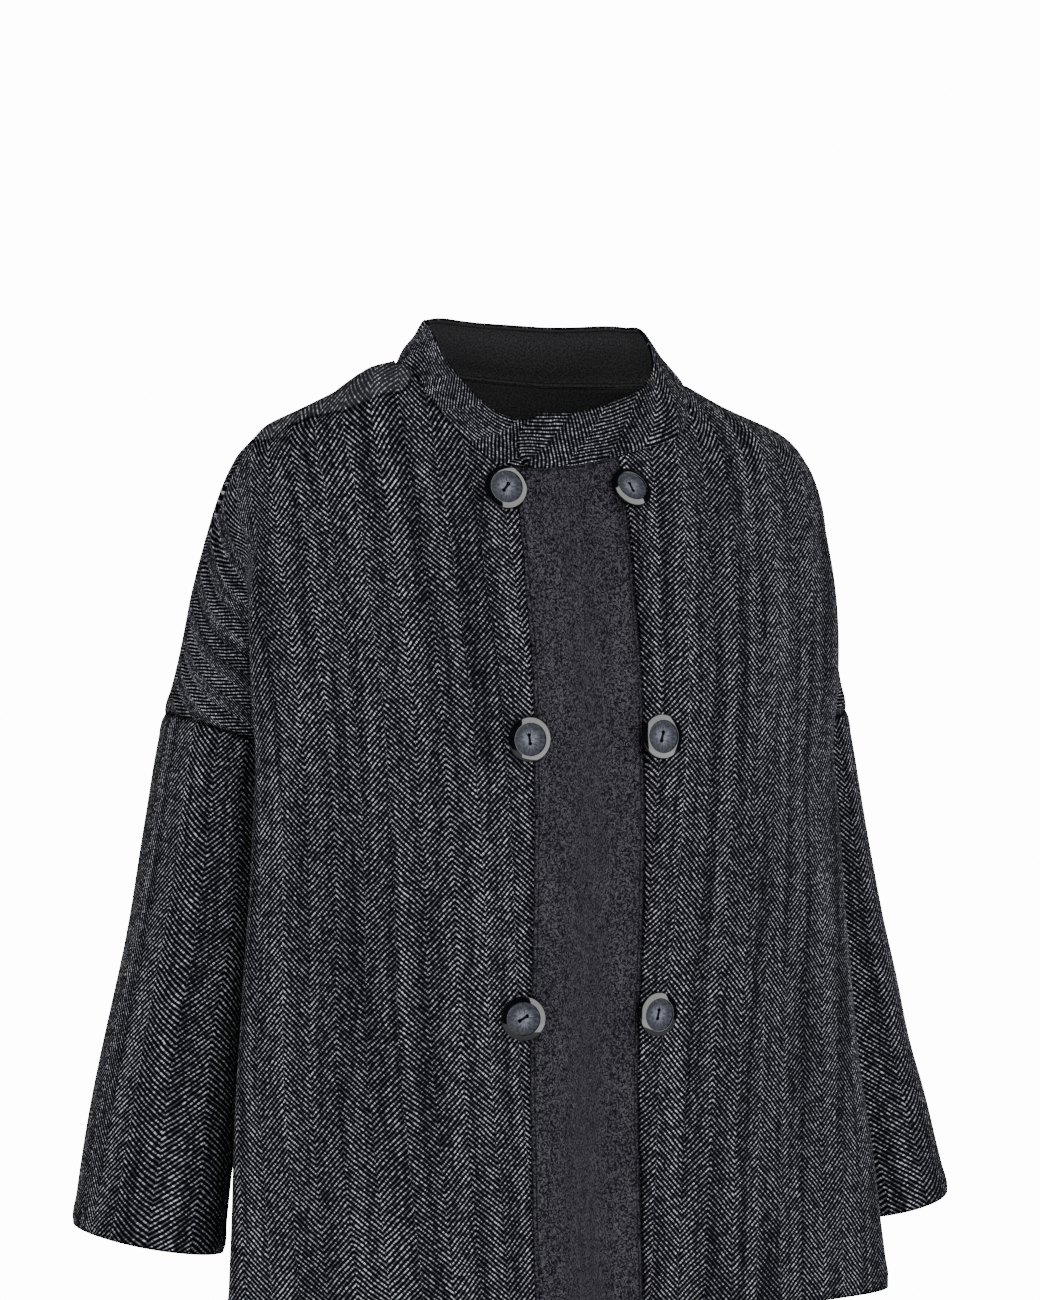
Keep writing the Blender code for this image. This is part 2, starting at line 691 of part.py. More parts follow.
def make(name, points, faces, mat):
    mesh = bpy.data.meshes.new(name)
    mesh.from_pydata([tuple(p * MM) for p in points], [], faces)
    mesh.update()
    bm = bmesh.new()
    bm.from_mesh(mesh)
    bmesh.ops.recalc_face_normals(bm, faces=bm.faces)
    bmesh.ops.triangulate(bm, faces=bm.faces, quad_method="SHORT_EDGE")
    bm.to_mesh(mesh)
    bm.free()
    mesh.shade_smooth()
    mesh.set_sharp_from_angle(angle=math.radians(40.0))
    mesh.materials.append(mat)
    obj = bpy.data.objects.new(name, mesh)
    bpy.context.scene.collection.objects.link(obj)
    return obj


def main():
    for obj in list(bpy.data.objects):
        bpy.data.objects.remove(obj, do_unlink=True)
    cloths = {
        "back": panel(-LAST_COLUMN, LAST_COLUMN, 1, True),
        "front_right": panel(-3, LAST_COLUMN, -1, False),
        "front_left": panel(2, LAST_COLUMN, 1, False, lapped=True),
        "front_band": panel(-3, 2, 1, False, lapped=True),
        "sleeve_right": sleeve(-1),
        "sleeve_left": sleeve(1),
    }
    whole = shared_normals([cloths[k] for k in ("back", "front_right", "sleeve_right", "sleeve_left")]
                           + [panel(-3, LAST_COLUMN, 1, False)])
    for name, cloth in cloths.items():
        shade = (0.035, 0.033, 0.045) if name == "front_band" else (0.045, 0.047, 0.055)
        points, faces = thicken(cloth, whole)
        make(name, points, faces, material(name, shade, 0.9))
    band = collar()
    points, faces = thicken(band, {})
    make("collar", points, faces, material("collar", (0.045, 0.047, 0.055), 0.9))
    for column, level in (("right", 0), ("left", 1)):
        for row, places in enumerate(BUTTON_ROWS):
            place = dict(zip(BUTTON_ROWS_COLUMNS, places))
            origin, axis = button_frame(place[column], place["height"], level)
            points, faces = revolve(origin, axis)
            name = "button_%s_%d" % (column, row + 1)
            make(name, points, faces, material(name, (0.03, 0.035, 0.05), 0.3))


main()
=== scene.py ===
"""Reversible wool jacket, dressed for the studio.

The cloth is drawn again from the maker's own sizes (millimetres), finer than
the solids, as thin shells with the double cloth's thickness. Outside is a
herringbone of pale flecks on near-black wool, inside the plain dark reverse.
"""

import math

import bmesh
import bpy
import numpy as np
from mathutils import Matrix, Vector, kdtree


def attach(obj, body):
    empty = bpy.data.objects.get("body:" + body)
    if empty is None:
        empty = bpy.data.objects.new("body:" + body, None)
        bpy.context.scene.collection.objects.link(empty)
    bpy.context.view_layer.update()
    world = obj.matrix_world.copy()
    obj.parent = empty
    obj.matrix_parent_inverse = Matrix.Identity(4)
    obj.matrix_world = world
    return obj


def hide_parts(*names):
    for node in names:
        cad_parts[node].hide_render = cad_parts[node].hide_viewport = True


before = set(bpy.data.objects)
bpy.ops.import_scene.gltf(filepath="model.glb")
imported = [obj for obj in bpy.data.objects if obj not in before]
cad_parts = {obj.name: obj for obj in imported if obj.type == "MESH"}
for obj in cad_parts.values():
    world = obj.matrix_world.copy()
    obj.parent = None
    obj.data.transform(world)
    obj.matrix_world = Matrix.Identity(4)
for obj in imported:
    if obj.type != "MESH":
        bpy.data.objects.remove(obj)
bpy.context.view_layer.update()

MM = 0.001

# ---- driving dimensions (mm) ----
CLOTH = 2.4  # thickness of the double-faced wool
GAP = 0.3  # clearance at every seam
LAYER = CLOTH + GAP  # how far a lapped layer stands off the one below

NECK_HALF_WIDTH = 105.0
NECK_POINT_Z = 4.0
NECK_FRONT_Z = -66.0
NECK_BACK_Z = 1.0
NECK_ROUND = 0.85  # exponent that squares the front neckline
NECK_SLANT = 0.19  # the front neckline is worn lower on the wearer's right

UNDERARM_Z = -275.0  # where body and sleeve part
ARMHOLE_RISE = 25.0  # the armhole seam is higher on the outer arm
FOLD_TOP_Z = -105.0  # the drape fold at the front of the arm starts here
SEAM_TURN_Z = -150.0  # corner column of the panels on the overarm line
SEAM_FORWARD = 0.75  # how far forward the shoulder seam starts at the neck, as t
HEM_Z = -690.0

SHOULDER_TILT = 0.08  # the wearer's right shoulder and neck sit higher

CUFF_Z = -640.0
CUFF_TILT = 0.18  # the cuff is square to the slanting arm

BAND_SEAM_X = 34.0  # where the band joins the front
UNDERLAP_X = 49.0  # hidden edge of the front that lies under
LAP_FULL_X = 52.0  # up to here the upper front lies a layer off the outline
LAP_FADE_X = 95.0  # here it is back on it

COLLAR_HEIGHT = 44.0
COLLAR_LEAN = math.radians(35.0)
COLLAR_BACK_RISE = 5.0  # the collar stands higher at the back
COLLAR_SIDE_RISE = 0.045  # and higher towards the wearer's left
COLLAR_TIP_LIFT = 4.0  # the end that laps over stands off at its top edge
COLLAR_END_X = 44.0  # each collar end passes the centre by this
COLLAR_BOW = 1.6  # the collar is hollow between its seam and its top edge
TIP_CLEAR = 4.0  # no column comes nearer than this to those of the tip
NECK_MIDDLE_Y, NECK_HALF_DEPTH = 10.0, 72.0
# rounded collar end, (distance from its tip, low, high): there it reaches
# from low to high, as shares of the height
COLLAR_TIP = (
    (0.0, 0.28, 0.50), (2.5, 0.13, 0.66), (7.0, 0.05, 0.79), (13.0, 0.01, 0.90), (21.0, 0.0, 0.99))

BUTTON_RADIUS = 16.1
BUTTON_THICK = 4.8
BUTTON_STAND = 4.2  # underside of the disc above the cloth under it
BUTTON_FOOT_RADIUS = 3.6
BUTTON_CLEAR = 0.4  # its foot above the cloth
BUTTON_ROWS_COLUMNS = ("height", "right", "left")
BUTTON_ROWS = ((-86.0, -58.5, 35.5), (-262.0, -54.5, 44.0), (-463.0, -54.5, 44.0))

# how far the worn jacket is carried to the wearer's left at each height
SWAY_COLUMNS = ("z", "shift")
SWAY = (
    (16.0, 3.0), (-20.0, 2.0), (-50.0, 3.0), (-80.0, 4.5), (-110.0, 3.2), (-140.0, 1.0), (-170.0, -1.0),
    (-230.0, -1.5), (-280.0, -2.5), (-330.0, -1.0), (-400.0, 0.0), (-500.0, 0.8), (-560.0, 3.0),
    (-620.0, 5.5), (-690.0, 8.0),
)
# where a shoulder is fuller than the even outline: (x, width, rise)
SHOULDERS = ((-150.0, 45.0, 3.4), (190.0, 42.0, 4.6))

# ---- the outline at each height (mm) ----
# wide, arm_y : widest point, on the overarm line
# front, back : centre front and centre back
# box         : 2 is an ellipse, more is squarer
SECTIONS_COLUMNS = ("z", "wide", "arm_y", "front", "back", "box")
SECTIONS = (
    (16.0, 92.0, -4.0, -58.0, 76.0, 2.0),
    (8.0, 105.0, 0.0, -61.0, 81.0, 2.0),
    (-4.0, 128.0, 8.0, -64.0, 88.0, 2.0),
    (-16.0, 147.0, 16.0, -67.0, 95.0, 2.1),
    (-30.0, 179.0, 27.0, -70.0, 102.0, 2.2),
    (-43.0, 208.5, 37.0, -73.0, 107.0, 2.3),
    (-60.0, 223.0, 44.0, -77.0, 112.0, 2.4),
    (-91.0, 234.5, 52.0, -91.0, 119.0, 2.5),
    (-151.0, 246.5, 58.0, -121.0, 125.0, 2.6),
    (-211.0, 257.5, 61.0, -142.0, 126.0, 2.6),
    (-275.0, 272.0, 62.0, -150.0, 123.0, 2.6),
    (-380.0, 291.0, 61.0, -143.0, 118.0, 2.6),
    (-480.0, 314.0, 60.0, -131.0, 116.0, 2.6),
    (-592.0, 340.0, 57.0, -124.0, 118.0, 2.6),
    (-700.0, 365.0, 54.0, -122.0, 122.0, 2.6),
)

# body below the underarm: the drape fold ("nose") at the front corner, the
# side seam, the softer corner of the back, and half the sleeve's two axes
BODY_COLUMNS = ("z", "nose_x", "nose_y", "side_x", "side_y",
                "rear_x", "rear_y", "arm_hx", "arm_hy")
BODY = (
    (-275.0, 224.0, -40.0, 184.0, 20.0, 180.0, 104.0, 37.0, 76.0),
    (-380.0, 232.0, -42.0, 192.0, 20.0, 188.0, 103.0, 44.0, 76.0),
    (-480.0, 240.0, -44.0, 201.0, 20.0, 197.0, 103.0, 50.0, 75.0),
    (-592.0, 251.0, -48.0, 210.0, 20.0, 207.0, 103.0, 56.0, 75.0),
    (-700.0, 260.0, -52.0, 218.0, 20.0, 216.0, 104.0, 60.0, 74.0),
)

# where the control points of an outline lie on its convex form (degrees
# from centre front): centre, quarter, nose, valley, arm, arm, overarm
CONVEX_ANGLES = (0.0, 24.0, 63.8, 70.4, 75.4, 81.7, 90.0)
ARM_ANGLES = (118.0, 58.0, 0.0)  # and where the last three lie round the arm, from its outside

# t is the place across the outline, from 0 at the centre front
NOSE_T, SIDE_T, OVERARM_T, REAR_SIDE_T, BACK_T = 2.0, 3.0, 6.0, 9.0, 12.0
# soft folds hanging in the cloth
FOLDS_COLUMNS = ("side", "t", "width", "top", "bottom", "depth")
FOLDS = (
    (-1, 1.35, 0.24, -330.0, -760.0, 7.0),
    (-1, 0.85, 0.16, -420.0, -760.0, -4.0),
    (1, 1.30, 0.22, -300.0, -760.0, 6.0),
    (1, 0.88, 0.18, -450.0, -760.0, -4.0),
    (-1, 11.00, 0.30, -180.0, -760.0, 7.0),
    (1, 10.80, 0.28, -230.0, -760.0, 8.0),
    (-1, 11.65, 0.20, -380.0, -760.0, -5.0),
    (1, 11.60, 0.22, -330.0, -760.0, -4.0),
)
SLEEVE_FOLDS_COLUMNS = ("side", "angle", "width", "top", "bottom", "depth")
SLEEVE_FOLDS = (
    (-1, -98.0, 17.0, -400.0, -590.0, 9.0),
    (-1, -52.0, 15.0, -300.0, -430.0, -3.0),
    (1, -92.0, 17.0, -380.0, -560.0, 8.0),
    (1, 96.0, 18.0, -330.0, -600.0, 7.0),
    (-1, 92.0, 18.0, -360.0, -620.0, 8.0),
)


def smooth(value):
    value = min(1.0, max(0.0, value))
    return value * value * (3.0 - 2.0 * value)


def table_curve(columns, rows, name):
    """A monotone cubic through one named column, as a function of z."""
    k = columns.index(name)
    data = sorted((row[0], row[k]) for row in rows)
    xs = np.array([d[0] for d in data])
    ys = np.array([d[1] for d in data])
    h = np.diff(xs)
    d = np.diff(ys) / h
    m = np.zeros(len(xs))
    m[0], m[-1] = d[0], d[-1]
    for i in range(1, len(xs) - 1):
        if d[i - 1] * d[i] > 0:
            w1, w2 = 2 * h[i] + h[i - 1], h[i] + 2 * h[i - 1]
            m[i] = (w1 + w2) / (w1 / d[i - 1] + w2 / d[i])

    def value(z):
        z = min(xs[-1], max(xs[0], z))
        i = int(min(len(h) - 1, max(0, np.searchsorted(xs, z) - 1)))
        s = (z - xs[i]) / h[i]
        a = (1 + 2 * s) * (1 - s) ** 2
        b = s * (1 - s) ** 2
        c = s * s * (3 - 2 * s)
        e = s * s * (s - 1)
        return float(a * ys[i] + b * h[i] * m[i] + c * ys[i + 1] + e * h[i] * m[i + 1])

    return value


SEC = {n: table_curve(SECTIONS_COLUMNS, SECTIONS, n) for n in SECTIONS_COLUMNS[1:]}
BOD = {n: table_curve(BODY_COLUMNS, BODY, n) for n in BODY_COLUMNS[1:]}
sway = table_curve(SWAY_COLUMNS, SWAY, "shift")


def convex_point(z, degrees, rear):
    """Control point of the plain convex outline."""
    a = math.radians(degrees)
    e = 2.0 / SEC["box"](z)
    centre = SEC["back"](z) if rear else SEC["front"](z)
    x = SEC["wide"](z) * math.sin(a) ** e
    y = SEC["arm_y"](z) + (centre - SEC["arm_y"](z)) * max(0.0, math.cos(a)) ** e
    return (x, y)


def arm_axes(z):
    """Half the sleeve's two axes, and its middle."""
    hx = BOD["arm_hx"](z)
    return hx, BOD["arm_hy"](z), SEC["wide"](z) - hx, SEC["arm_y"](z)


def draped_point(z, index, rear):
    """Control point of the full fold: body corner, valley and arm tube."""
    centre = SEC["back"](z) if rear else SEC["front"](z)
    corner = "rear" if rear else "nose"
    nose = (BOD[corner + "_x"](z), BOD[corner + "_y"](z))
    hx, hy, cx, cy = arm_axes(z)
    body = ((0.0, centre), (0.52 * nose[0], centre + 0.11 * (nose[1] - centre)), nose,
            (BOD["side_x"](z), BOD["side_y"](z)))
    if index < len(body):
        return body[index]
    angle = math.radians(ARM_ANGLES[index - len(body)])
    return (cx + hx * math.cos(angle), cy + (1.0 if rear else -1.0) * hy * math.sin(angle))


def controls(z):
    """Thirteen control points, centre front round the arm to centre back."""
    drape = min(1.0, max(0.0, (FOLD_TOP_Z - z) / (FOLD_TOP_Z - UNDERARM_Z))) ** 1.3
    points = []
    for k in range(13):
        rear = k > 6
        index = 12 - k if rear else k
        cx, cy = convex_point(z, CONVEX_ANGLES[index], rear)
        dx, dy = draped_point(z, index, rear)
        points.append((cx + (dx - cx) * drape, cy + (dy - cy) * drape))
    if z < UNDERARM_Z:  # the body alone, one side point
        points = points[:4] + points[10:]
    return points


CACHE = {}


def outline(t, z, side=1.0):
    """Point of the outline at t and z, on a smooth curve through the control
    points; side -1 is the wearer's right."""
    if t < 0.0:
        return outline(-t, z, -side)
    if t > BACK_T:
        return outline(2.0 * BACK_T - t, z, -side)
    key = round(z, 4)
    pts = CACHE.get(key)
    if pts is None:
        pts = CACHE[key] = controls(z)
    if z < UNDERARM_Z and t > SIDE_T:
        t = max(SIDE_T, t - (REAR_SIDE_T - SIDE_T))
    n = len(pts)
    i = int(min(n - 2, math.floor(t)))
    s = t - i
    p0 = pts[i - 1] if i > 0 else (-pts[1][0], pts[1][1])
    p3 = pts[i + 2] if i + 2 < n else (-pts[n - 2][0], pts[n - 2][1])
    p1, p2 = pts[i], pts[i + 1]
    out = []
    d = [max(1e-6, math.dist(a, b)) ** 0.5 for a, b in ((p0, p1), (p1, p2), (p2, p3))]
    for a, b, c, e in zip(p0, p1, p2, p3):
        m1 = (b - a) / d[0] - (c - a) / (d[0] + d[1]) + (c - b) / d[1]
        m2 = (c - b) / d[1] - (e - b) / (d[1] + d[2]) + (e - c) / d[2]
        out.append((2 * s**3 - 3 * s**2 + 1) * b + (s**3 - 2 * s**2 + s) * (m1 * d[1])
                   + (-2 * s**3 + 3 * s**2) * c + (s**3 - s**2) * (m2 * d[1]))
    return (side * out[0], out[1])


def folds_at(columns, rows, z, side):
    """The folds that pass a height, each with its share of the way down."""
    for row in rows:
        f = dict(zip(columns, row))
        if f["side"] == side and f["bottom"] < z < f["top"]:
            yield f, (f["top"] - z) / (f["top"] - f["bottom"])


def fold_depth(t, z, side):
    total = 0.0
    for f, along in folds_at(FOLDS_COLUMNS, FOLDS, z, side):
        total += f["depth"] * smooth(along * 2.2) * math.exp(-((t - f["t"]) / f["width"]) ** 2)
    return total


def surface(t, z, side):
    """Outer face of the cloth, in mm, with its soft folds."""
    x, y = outline(t, z, side)
    depth = fold_depth(abs(t), z, side if t >= 0 else -side)
    if depth:
        x1, y1 = outline(t + 0.02, z, side)
        tx, ty = x1 - x, y1 - y
        length = math.hypot(tx, ty) or 1.0
        x, y = x + side * depth * ty / length, y + side * depth * tx / length
    rise = -SHOULDER_TILT * x * math.exp(-(x / 170.0) ** 2)
    for at, width, full in SHOULDERS:
        rise += full * math.exp(-((x - at) / width) ** 2)
    return Vector((x + sway(z), y, z + rise * smooth((z + 140.0) / 110.0)))


def t_at_x(x, z, rear=False):
    """The place on the outline that lies at x, found by halving."""
    lo, hi = (OVERARM_T, BACK_T) if rear else (0.0, OVERARM_T)
    if z < UNDERARM_Z:
        lo, hi = (REAR_SIDE_T, BACK_T) if rear else (0.0, NOSE_T)
    for _ in range(30):
        mid = 0.5 * (lo + hi)
        if (outline(mid, z)[0] < x) != rear:
            lo = mid
        else:
            hi = mid
    return 0.5 * (lo + hi)


LENGTHS = {}


def lengths(z, rear):
    """Length along the outline from its middle to the overarm line."""
    key = (round(z, 3), rear)
    if key not in LENGTHS:
        ts = [k / 10.0 for k in range(61)]
        pts = [outline(BACK_T - t if rear else t, z) for t in ts]
        run = [0.0]
        for a, b in zip(pts, pts[1:]):
            run.append(run[-1] + math.dist(a, b))
        LENGTHS[key] = (ts, run)
    return LENGTHS[key]


def length_at(t, z, rear):
    ts, run = lengths(z, rear)
    return float(np.interp(BACK_T - t if rear else t, ts, run))


def t_at_length(length, z, rear):
    ts, run = lengths(z, rear)
    t = float(np.interp(length, run, ts))
    return BACK_T - t if rear else t


def seam_t(z):
    """The shoulder seam lies a little forward of the overarm line."""
    return OVERARM_T - SEAM_FORWARD * (1.0 - smooth(z / SEAM_TURN_Z))


def neck_front(x):
    f = min(1.0, abs(x) / NECK_HALF_WIDTH) ** (1.0 / NECK_ROUND)
    c = max(0.0, 1.0 - f * f) ** 0.5
    slant = NECK_SLANT * x * (1.0 - smooth((abs(x) - 45.0) / 55.0))
    return NECK_POINT_Z + (NECK_FRONT_Z - NECK_POINT_Z) * c ** NECK_ROUND + slant


def neck_back(x):
    f = min(1.0, abs(x) / NECK_HALF_WIDTH)
    return NECK_POINT_Z + (NECK_BACK_Z - NECK_POINT_Z) * (1.0 - f * f)


# ---- the net of the panels ----
CENTRE_X = (0.0, 17.0, BAND_SEAM_X, UNDERLAP_X)
NECK_X = (65.0, 82.0, 94.5, 101.6, 104.4)
LOW_T = (0.58, 0.74, 0.90, 1.06, 1.24, 1.42, 1.60, 1.75, 1.88, 2.0, 2.14, 2.36, 2.66, 3.0,
         3.22, 3.46, 3.72, 4.0, 4.33, 4.66, 5.0, 5.33, 5.66, 6.0)
SIDE_COLUMN = len(CENTRE_X) + LOW_T.index(SIDE_T)
LAST_COLUMN = len(CENTRE_X) + len(LOW_T) - 1
NECK_COLUMN = len(CENTRE_X) + len(NECK_X)  # column of the neck point
ROWS_UP = 11
ROWS_LOW = 9


def seam_heights():
    """Even steps along the shoulder seam from the neck point down."""
    zs = np.linspace(NECK_POINT_Z, SEAM_TURN_Z, 160)
    pts = [surface(seam_t(z), z, 1) for z in zs]
    run = [0.0]
    for a, b in zip(pts, pts[1:]):
        run.append(run[-1] + (b - a).length)
    count = LAST_COLUMN - NECK_COLUMN
    return [float(np.interp(run[-1] * k / count, run, zs)) for k in range(count + 1)]


SEAM_Z = seam_heights()


def armhole_z(column):
    f = (column - SIDE_COLUMN) / (LAST_COLUMN - SIDE_COLUMN)
    return UNDERARM_Z + ARMHOLE_RISE * smooth(max(0.0, f))


def net_place(column, row, side, rear):
    """Row 0 is the neck and shoulder seam, ROWS_UP the underarm level."""
    flip = (lambda t: BACK_T - t) if rear else (lambda t: t)
    neck = neck_back if rear else neck_front
    sign = -1 if column < 0 else 1
    column = abs(column)
    side = side * sign
    if row > ROWS_UP:
        z = UNDERARM_Z + (HEM_Z - UNDERARM_Z) * (row - ROWS_UP) / ROWS_LOW
        if column < len(CENTRE_X):
            return (t_at_x(CENTRE_X[column], z, rear), z, side)
        return (flip(LOW_T[column - len(CENTRE_X)]), z, side)
    s = row / ROWS_UP
    if column < len(CENTRE_X):
        x = CENTRE_X[column]
        z = neck(side * x) + (UNDERARM_Z - neck(side * x)) * s
        return (t_at_x(x, z, rear), z, side)
    low_t = flip(LOW_T[column - len(CENTRE_X)])
    if column < NECK_COLUMN:
        x = NECK_X[column - len(CENTRE_X)]
        z0 = neck(side * x)
        t0 = t_at_x(x, z0, rear)
    else:
        z0 = SEAM_Z[column - NECK_COLUMN]
        t0 = seam_t(z0)
    z = z0 + (armhole_z(column) - z0) * s
    if column == LAST_COLUMN:
        return (seam_t(z), z, side)
    if row == 0:
        return (t0, z, side)
    l0 = length_at(t0, z0, rear)
    l1 = length_at(low_t, armhole_z(column), rear)
    free_t = t_at_length(l0 + (l1 - l0) * s, z, rear)
    hold = smooth((FOLD_TOP_Z + 15.0 - z) / 70.0) * smooth(s * 3.0)
    return (free_t + (low_t - free_t) * hold, z, side)


def net_point(column, row, side, rear):
    return surface(*net_place(column, row, side, rear))


def lap_lift(x):
    return LAYER * (1.0 - smooth((x - LAP_FULL_X) / (LAP_FADE_X - LAP_FULL_X)))


def ellipse_point(z, angle, side):
    hx, hy, cx, cy = arm_axes(z)
    a = math.radians(angle)
    deep = 0.0
    for f, along in folds_at(SLEEVE_FOLDS_COLUMNS, SLEEVE_FOLDS, z, side):
        deep += f["depth"] * math.sin(math.pi * along) ** 1.2 * math.exp(
            -((angle - f["angle"]) / f["width"]) ** 2)
    n = Vector((math.cos(a) / hx, math.sin(a) / hy, 0)).normalized()
    return Vector((sway(z) + side * (cx + hx * math.cos(a) - n.x * deep),
                   cy + hy * math.sin(a) - n.y * deep, z))


def collar_base():
    """Base line of the collar from its under end, round the back, to the
    end that laps over: (x, rear, level), with rear None at the neck point."""
    front = list(reversed(CENTRE_X + NECK_X)) + [-CENTRE_X[1], -BAND_SEAM_X]
    back = list(reversed(CENTRE_X[1:] + NECK_X))
    tip = [COLLAR_END_X - row[0] for row in COLLAR_TIP]
    front = [x for x in front if -x < tip[-1] - TIP_CLEAR]
    line = [(x, False, 0) for x in tip]
    line += [(-x, False, 0) for x in reversed(front)]
    line += [(-NECK_HALF_WIDTH, None, 0)]
    line += [(-x, True, 0) for x in back] + [(0.0, True, 0)]
    line += [(x, True, 1) for x in reversed(back)]
    line += [(NECK_HALF_WIDTH, None, 1)]
    line += [(x, False, 1) for x in front]
    line += [(-x, False, 1) for x in reversed(tip)]
    return line


def collar_point(x, rear, level, h):
    side = -1.0 if x < 0 else 1.0
    if rear is None:
        p = surface(seam_t(NECK_POINT_Z), NECK_POINT_Z, side)
    else:
        z = neck_back(x) if rear else neck_front(x)
        p = surface(t_at_x(abs(x), z, rear), z, side)
    o = Vector((p.x / NECK_HALF_WIDTH ** 2, (p.y - NECK_MIDDLE_Y) / NECK_HALF_DEPTH ** 2, 0)).normalized()
    n = o * math.cos(COLLAR_LEAN) + Vector((0, 0, math.sin(COLLAR_LEAN)))
    up = Vector((0, 0, math.cos(COLLAR_LEAN))) - o * math.sin(COLLAR_LEAN)
    share = h / COLLAR_HEIGHT
    lift = 0.0
    if level and not rear:
        lift = lap_lift(p.x) + COLLAR_TIP_LIFT * share * share * smooth((25.0 - x) / 60.0)
    bow = -COLLAR_BOW * math.sin(math.pi * share)
    behind = 1.0 if rear or rear is None else smooth((abs(x) - 55.0) / 48.0)
    rise = (COLLAR_BACK_RISE + COLLAR_SIDE_RISE * p.x) * behind
    return p + up * (h + rise * share + GAP) + n * (lift + bow), n


def button_frame(x, z, level):
    """Where a button is sewn on the cloth, and the way out of the cloth."""
    side = -1.0 if x < 0 else 1.0

    def at(dx, dz):
        return surface(t_at_x(abs(x) + dx, z + dz), z + dz, side)

    n = (at(2.0, 0.0) - at(-2.0, 0.0)).cross(at(0.0, 3.0) - at(0.0, -3.0)).normalized()
    if n.y > 0:
        n = -n
    return at(0.0, 0.0) + n * (level * LAYER + BUTTON_CLEAR), n


# ---- cloth as it is cut, sewn and worn ----
# the lowered arm turns the cloth about a point of it (mm across and down),
# pulls it on the bias and gathers it there
GRAIN_PIVOT = (262.0, 105.0)
GRAIN_TURN = math.radians(30.0)
GRAIN_SHEAR, GRAIN_EASE = 0.3, 1.35
# the fronts hang a little off the grain
FRONT_LEAN = {-1.0: math.radians(-3.5), 1.0: math.radians(4.0)}
UNDER_FRONT = (0.7, 1.6)  # the back's side edge reaches inwards and forwards under the front's
SLEEVE_ROWS = 16
SLEEVE_STANDS_OFF = 4.5  # the sleeve's seam lies beside the body's side seam


def length_down(rear):
    """Length along the cloth from the neck, for heights from high to low."""
    heights = np.linspace(20.0, HEM_Z, 72)
    line = [surface(10.4 if rear else 1.8, z, 1) for z in heights]
    steps = [0.0] + [math.hypot(b.y - a.y, b.z - a.z) for a, b in zip(line, line[1:])]
    return -heights, np.cumsum(steps) - 20.0


DOWN = {False: length_down(False), True: length_down(True)}


def grain_of(t, z, side, rear):
    """Where a point lies on the flat cloth, in mm across and along it."""
    u = length_at(t, z, rear)
    v = float(np.interp(-z, *DOWN[rear]))
    reach = BACK_T - t if rear else t
    lowered = smooth((reach - 2.5) / 0.6) * smooth((-z - 60.0) / 90.0)
    turn, ease = GRAIN_TURN * lowered, 1.0 + (GRAIN_EASE - 1.0) * lowered
    pu, pv = GRAIN_PIVOT
    du, dv = (u - pu) * ease, (v - pv) * ease
    u = pu + du * math.cos(turn) + dv * math.sin(turn)
    v = pv - du * math.sin(turn) + dv * math.cos(turn) - (u - pu) * GRAIN_SHEAR * lowered
    u *= side
    if not rear:
        lean = FRONT_LEAN[side]
        u, v = u * math.cos(lean) + v * math.sin(lean), v * math.cos(lean) - u * math.sin(lean)
    return (u, v)


def cut_size(points, keys):
    """The longest lines across and down a net, measured along the cloth, mm."""
    lines = ({}, {})
    for (col, row), i in keys.items():
        for way, line, step in ((0, row, (col + 1, row)), (1, col, (col, row + 1))):
            if step in keys:
                lines[way][line] = lines[way].get(line, 0.0) + (points[keys[step]] - points[i]).length
    return tuple(max(way.values()) for way in lines)


def lapped_over(points, keys):
    """The points of a net, lifted off the front that lies under it."""
    at = {k: points[i] for k, i in keys.items()}
    lifted = []
    for (col, row), p in at.items():
        right = at.get((col + 1, row), p) - at.get((col - 1, row), p)
        down = at.get((col, row + 1), p) - at.get((col, row - 1), p)
        lifted.append(p + down.cross(right).normalized() * lap_lift(p.x))
    return lifted


def panel_net(first, last, side, rear, lapped=False):
    """Outer points, faces with their grain, and size of a front or back."""
    keys, points, grain, faces = {}, [], [], []
    for row in range(ROWS_UP + ROWS_LOW + 1):
        for col in range(first, last + 1):
            if row > ROWS_UP and abs(col) > SIDE_COLUMN:
                continue
            t, z, s = net_place(col, row, side, rear)
            keys[(col, row)] = len(points)
            p = surface(t, z, s)
            if rear and row >= ROWS_UP and abs(col) == SIDE_COLUMN:
                p -= Vector((s * UNDER_FRONT[0], UNDER_FRONT[1], 0.0))
            points.append(p)
            grain.append(grain_of(t, z, s, rear))
    if lapped:
        points = lapped_over(points, keys)
    for row in range(ROWS_UP + ROWS_LOW):
        for col in range(first, last):
            if row >= ROWS_UP and max(abs(col), abs(col + 1)) > SIDE_COLUMN:
                continue
            q = [(col, row), (col, row + 1), (col + 1, row + 1), (col + 1, row)]
            if (side < 0) != rear:
                q.reverse()
            faces.append([(keys[k], grain[keys[k]]) for k in q])
    return points, faces, cut_size(points, keys)


